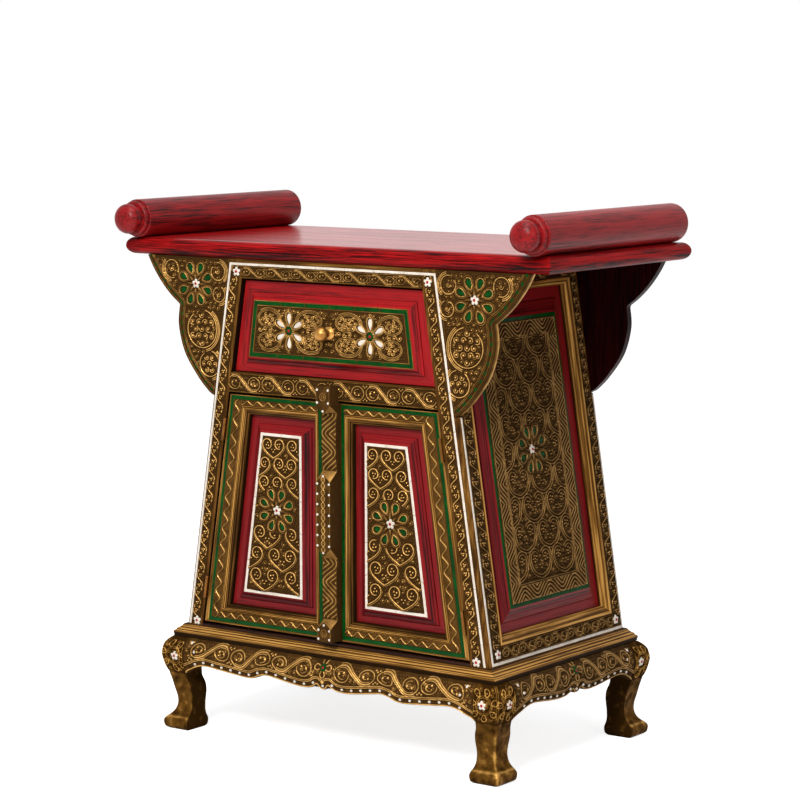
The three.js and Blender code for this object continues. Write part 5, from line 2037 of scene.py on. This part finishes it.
def apron_solid(node, axis, sign):
    """Carved apron, its studs' places and its face, from the scallop of a CAD node."""
    along, low = levels(node, 1 - axis, 2, -1)
    half = along[-1]
    crest = APRON_HIGH - 1.5

    def edge(u):
        return smooth_curve(along, low, np.asarray(u, float))

    def beside(hand):
        """Band coordinates from the middle of the apron outwards, above the studs."""
        def place(a, b):
            u = hand * np.asarray(a, float)
            foot = edge(u) + APRON_BAND
            return stacked(u, (foot + crest) / 2 + np.asarray(b) * (crest - foot) / 2 * 0.97)
        return place

    def inside(u, v, r):
        return (v > edge(u) + APRON_BAND + r) & (v < APRON_HIGH - 2 - r) & (abs(u) < half - r)

    carving = Carving(-half, half, low.min(), APRON_HIGH)
    u = np.arange(-half, half + 0.5, 1.0)
    line = stacked(u, edge(u))
    for distance, width in ((1.7, 1.5), (10.4, 1.1), (12.8, 1.1)):
        carving.cord(parallel(line, distance), width, 1.5)
    for hand in (-1, 1):
        scroll_chain(carving, beside(hand), half - 34, 80, 1.4, 2.3, first=20)
    for outline in petal_ring(APRON_FLOWER, 4, 9.5, 0, drop(13, 9)):
        carving.cord(closed(outline), 1.2, 1.6)
    fill(carving, inside, 3.6, 8.4, 0.2)
    carving.clear([(*APRON_FLOWER, 6)])

    share = np.linspace(0, 1, 60)
    v = edge(u)[:, None] + (APRON_HIGH - edge(u))[:, None] * share
    u_grid = np.broadcast_to(u[:, None], v.shape)
    height = carving.at(u_grid, v)
    place = on_apron(axis, sign)
    front = place(u_grid, v, 1.3 * height - 0.9)
    back = sign * (FOOT[axis] - APRON_BACK)
    rails = [facing(axis, back, u, v[:, k]) for k in (0, -1)]
    solid = backed_sheet(front, *rails, relief=0.12 + 0.88 * crest_of(height), rail_relief=0.1)

    reach = half - 24
    row = np.linspace(-reach, reach, round(2 * reach / 18.4) + 1)
    last = float(edge(reach)) + STUD_LIFT
    climbing = [[hand * (reach + out), last + up] for hand in (-1, 1) for out, up in ((1, 20), (10, 33))]
    studs = np.concatenate([stacked(row, edge(row) + STUD_LIFT), climbing])
    print(node, "half width", half, "studs", len(studs))
    return solid, studs, place


for name, axis, sign in (("front", 1, -1), ("rear", 1, 1), ("left", 0, -1), ("right", 0, 1)):
    solid, studs, place = apron_solid(f"{name}_apron", axis, sign)
    make_piece(f"{name}_apron_carved", solid, gilt if name == "front" else dull_gilt,
               stands_for=[f"{name}_apron"])
    white.append(dots(2.2, studs, 1.6, place, -0.5))
    green.append(blossoms(6.0, APRON_FLOWER, 1.5, place, -0.4, 0.3))
    red.append(dots(2.0, APRON_FLOWER, 0.7, place, 1.0))

# %% [markdown]
# ### Legs
#
# A leg is a stack of rounded square rings. Above the ankle the two outer faces are carved,
# and the carving is drawn once, unrolled round the corner, so that across = 0 is the edge
# of the knee. Below, the relief is lighter on the edge and the rim of the foot block, partly
# rubbed gilt and partly a painted highlight, and darker in the groove above it.

# %% Legs
KNEE_LOW, KNEE_HIGH = 94.0, 151
KNEE_FLOWER = 123
KNEE_MIDDLES = ((1, 303), (0, 187))
FOOT_HIGH = 22.0
FACE, TURN = 44, 8
RING = 2 * (FACE + TURN)
knee_map = Carving(-46, 46, KNEE_LOW - 2, APRON_HIGH)
for side in (-1, 1):
    knee = np.array([side * 24.5, KNEE_FLOWER])
    double_cord(knee_map, knee + spiral((0, 0), 13.5, 13.5, 0, 1), 1.3)
    for outline in petal_ring(knee, 7, 20, 0.3, drop(12, 9)):
        knee_map.cord(closed(outline), 1.1, 1.5)
        knee_map.bud(outline.mean(0), 1.5, 1.5)
    knee_map.cord([[side * 1.2, KNEE_HIGH + 1], [side * 1.2, KNEE_LOW + 2]], 1.1, 1.3)
    knee_map.cord([[side * 43, KNEE_HIGH + 1], [side * 43, KNEE_LOW + 6]], 1.0, 1.3)


def inside_knee(u, v, r):
    """True on either face of the knee, between its cords."""
    beside_edge = (abs(u) > 2.5 + r) & (abs(u) < 42 - r)
    return beside_edge & (v > KNEE_LOW + 3 + r) & (v < KNEE_HIGH - r)


print("curls and beads on a knee:", *fill(knee_map, inside_knee, 3.2, 7.4, 0.14))


def ridge(distance, width):
    """A soft line of height 1: exp(-(distance / width)^2)."""
    return np.exp(-(distance / width) ** 2)


def leg_solid(sign_x, sign_y):
    """Rings of points: along the y face, round the corner, along the x face, and inside.

    Each array has a row per level; a column alone holds one value per level.
    """
    levels_z = [np.linspace(leg_z[0], KNEE_LOW, 64), np.linspace(KNEE_LOW, APRON_HIGH, 66)]
    z = np.unique(np.concatenate(levels_z))[:, None]
    outer = FOOT[0] + swell(z)
    inner = smooth_curve(inner_z, inner_x, z)
    soft = np.interp(z, [8, 90, 110], [4.0, 5.0, 7.0])
    width = outer - inner
    straight = width - soft
    t = np.linspace(0, 1, FACE, endpoint=False)
    angle = np.linspace(0, np.pi / 2, TURN, endpoint=False)
    face, turn = np.ones((len(z), FACE)), np.ones((len(z), TURN))
    x_side = np.hstack([
        inner + straight * t, outer - soft + soft * np.sin(angle), outer * face,
        inner + width * np.linspace(1, 0, TURN),
    ])
    y_side = np.hstack([
        width * face, straight + soft * np.cos(angle), straight * (1 - t), 0 * turn,
    ])
    eighth = soft * np.pi / 4
    across = np.hstack([
        -(straight * (1 - t)) - eighth, soft * angle - eighth, straight * t + eighth, 60 * turn,
    ])
    carved = np.interp(z, [KNEE_LOW - 1, KNEE_LOW + 3], [0, 1]) * (np.abs(across) < 44)
    height = knee_map.at(across, z) * carved
    blend = np.concatenate([np.zeros(FACE), np.sin(angle), np.ones(FACE), np.zeros(TURN)])
    block = np.clip((FOOT_HIGH + 0.8 - z) / 1.6, 0, 1)
    lift = 1.3 * height - 0.8 * carved + 1.1 * block
    outside = np.arange(RING) < RING - TURN
    y_low = inner - (FOOT[0] - FOOT[1])
    y_lift = lift * np.sqrt(1 - blend ** 2) * outside
    points = stacked(sign_x * (x_side + lift * blend), sign_y * (y_low + y_side + y_lift), z)
    # Edge and rim lighter, partly rubbed gilt and partly a painted highlight; the groove darker.
    edge = ridge(across, 2.2) * np.interp(z, [0, 8, 60, 90], [0.1, 0.34, 0.26, 0.1])
    rim = 0.36 * ridge(z - FOOT_HIGH + 1.6, 1.5)
    groove = 0.16 * ridge(z - FOOT_HIGH - 2.5, 2.0)
    # Darker at the floor and towards the knee, lighter between.
    worn = np.interp(z, [0, 3, 10, 20, 45, 80], [-0.2, 0.0, 0.04, 0.06, 0.07, -0.04])
    plain = 0.32 + edge + rim - groove + worn
    relief = np.where(carved > 0, 0.05 + 0.95 * crest_of(height), plain)
    relief = np.where(outside & (np.arange(RING) > 0), relief, 0.0)
    grain = stacked(z, across, 50.0 * sign_x + 90 * sign_y)
    return loft(points, relief.ravel(), grain.reshape(-1, 3))


def on_leg(axis, sign_x, sign_y):
    """Outer face of a leg: u is the distance from the middle plane of the stand."""
    signs = [sign_x, sign_y, 1]
    return lambda u, v, proud: facing(axis, FOOT[axis] + swell(v) + proud, u, v) * signs


for depth, sign_y in (("front", -1), ("rear", 1)):
    for side, sign_x in SIDES.items():
        make_piece(f"{depth}_{side}_leg_carved", leg_solid(sign_x, sign_y), leg_gilt,
                   stands_for=[f"{depth}_{side}_leg"])
        for axis, middle in KNEE_MIDDLES:
            small_flowers([(middle, KNEE_FLOWER)], on_leg(axis, sign_x, sign_y), -0.2)

make_piece("white_inlay_of_the_case", joined(white), white_inlay)
make_piece("green_inlay_of_the_case", joined(green), green_inlay)
make_piece("red_dots_of_the_case", joined(red), red_inlay)

# %% [markdown]
# ## Boards that keep their CAD shape
#
# Posts, rails, boards, the drawer box and the hinges are right as they are. They only need
# their finishes, with the grain along each board.

# %% Finishes of CAD nodes
node_finishes = {
    gold_upright: [f"{depth}_{side}_post" for depth in ("front", "rear") for side in SIDES],
    gold_across: ["front_top_rail", "front_mid_rail"],
    gold_deep: [f"{side}_side_{rail}_rail" for side in SIDES for rail in ("top", "bottom")],
    dark_across: ["back_panel"],
    sill_brown: ["front_sill_rail"],
    plain_wood: ["bottom_board", "dust_board", "drawer_left_side", "drawer_right_side", "drawer_bottom"],
    cross_wood: ["drawer_back"],
    old_brass: [f"{side}_{hinge}_hinge_{leaf}_leaf" for side in SIDES for hinge in ("lower", "upper")
                for leaf in ("frame", "door")],
    screw_steel: ["drawer_knob_screw"],
}
for material, nodes in node_finishes.items():
    for node in nodes:
        for material_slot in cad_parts[node].material_slots:
            material_slot.material = material
print("CAD nodes finished:", sum(len(nodes) for nodes in node_finishes.values()))

# %% [markdown]
# ## Studio
#
# The cabinet stands on a pale floor in front of white. The camera was worked out from the
# photograph: its place, its heading and a long lens.


# %% Floor and world
AMBIENT = (0.2, 0.2, 0.205)


def seen_directly(finish):
    """1 for rays from the camera, from gloss or through glass, 0 for rays that carry light."""
    kinds = ("Is Camera Ray", "Is Glossy Ray", "Is Transmission Ray")
    camera_ray, glossy_ray, clear_ray = (finish.node("ShaderNodeLightPath", output=kind) for kind in kinds)
    return finish.calculate("MAXIMUM", finish.calculate("MAXIMUM", camera_ray, glossy_ray), clear_ray)


def studio_world():
    """White where it is seen, and a dim sky for the light it gives."""
    sky = Finish("studio", world=True)
    sky.set(Color=sky.mix(seen_directly(sky), (*AMBIENT, 1), (1, 1, 1, 1)), Strength=1.0)
    bpy.context.scene.world = sky.material


def floor_finish():
    """Pale floor that takes shadows, lifted to white where it is seen."""
    finish = Finish("studio_floor")
    finish.set(Base_Color=(0.92, 0.92, 0.92, 1), Roughness=0.9, Emission_Strength=0.8)
    finish.set(Emission_Color=finish.mix(seen_directly(finish), (0, 0, 0, 1), (1, 1, 1, 1)))
    return finish.material


studio_world()
bpy.ops.mesh.primitive_plane_add(size=14, location=(0, 0, 0))
floor = bpy.context.object
floor.name = "studio_floor"
floor.data.materials.append(floor_finish())
floor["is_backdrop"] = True
print("floor and world ready")

def add_light(name, place, aim, size, power, colour=(1, 1, 1)):
    """Square lamp at a place, turned to its aim."""
    lamp = bpy.data.lights.new(name, "AREA")
    lamp.size = size
    lamp.energy = power
    lamp.color = colour
    lamp_object = bpy.data.objects.new(name, lamp)
    bpy.context.scene.collection.objects.link(lamp_object)
    lamp_object.location = place
    lamp_object.rotation_euler = (Vector(place) - Vector(aim)).to_track_quat("Z", "Y").to_euler()
    lamp_object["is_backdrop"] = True


MIDDLE = OFFSET[1] * MM
add_light("key", (1.0, -2.9, 2.6), (0, MIDDLE, 0.45), 1.2, 124, (1.0, 0.985, 0.96))
add_light("overhead", (0.4, -0.7, 3.4), (0, MIDDLE, 0.6), 1.6, 46, (1.0, 0.99, 0.97))
add_light("side", (3.4, -1.0, 1.7), (0, MIDDLE, 0.4), 1.2, 13, (0.97, 0.98, 1.0))

# %% Camera
LENS, SENSOR = 127.43, 36
CAMERA_PLACE = (2.6679, -3.6189 + MIDDLE, 1.0913)
CAMERA_BACK, CAMERA_RIGHT = (0.5901, -0.7981, 0.1217), (0.8041, 0.5945, 0)
ROLL = math.radians(-0.14)

scene = bpy.context.scene
scene.view_settings.view_transform = "Standard"
camera_data = bpy.data.cameras.new("camera")
camera_data.sensor_width = SENSOR
camera_data.lens = LENS
back = Vector(CAMERA_BACK).normalized()
right = Vector(CAMERA_RIGHT).normalized()
up = back.cross(right)
turned_right = right * math.cos(ROLL) + up * math.sin(ROLL)
turned_up = up * math.cos(ROLL) - right * math.sin(ROLL)
camera = bpy.data.objects.new("camera", camera_data)
rotation = Matrix((turned_right, turned_up, back)).transposed().to_4x4()
camera.matrix_world = Matrix.Translation(CAMERA_PLACE) @ rotation
scene.collection.objects.link(camera)
scene.camera = camera
print("camera:", [round(value, 3) for value in camera.matrix_world.translation])

# %% Finish
size = {"cad": cad_box, "visual": [list(corner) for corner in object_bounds()]}
print("size:", json.dumps(size))
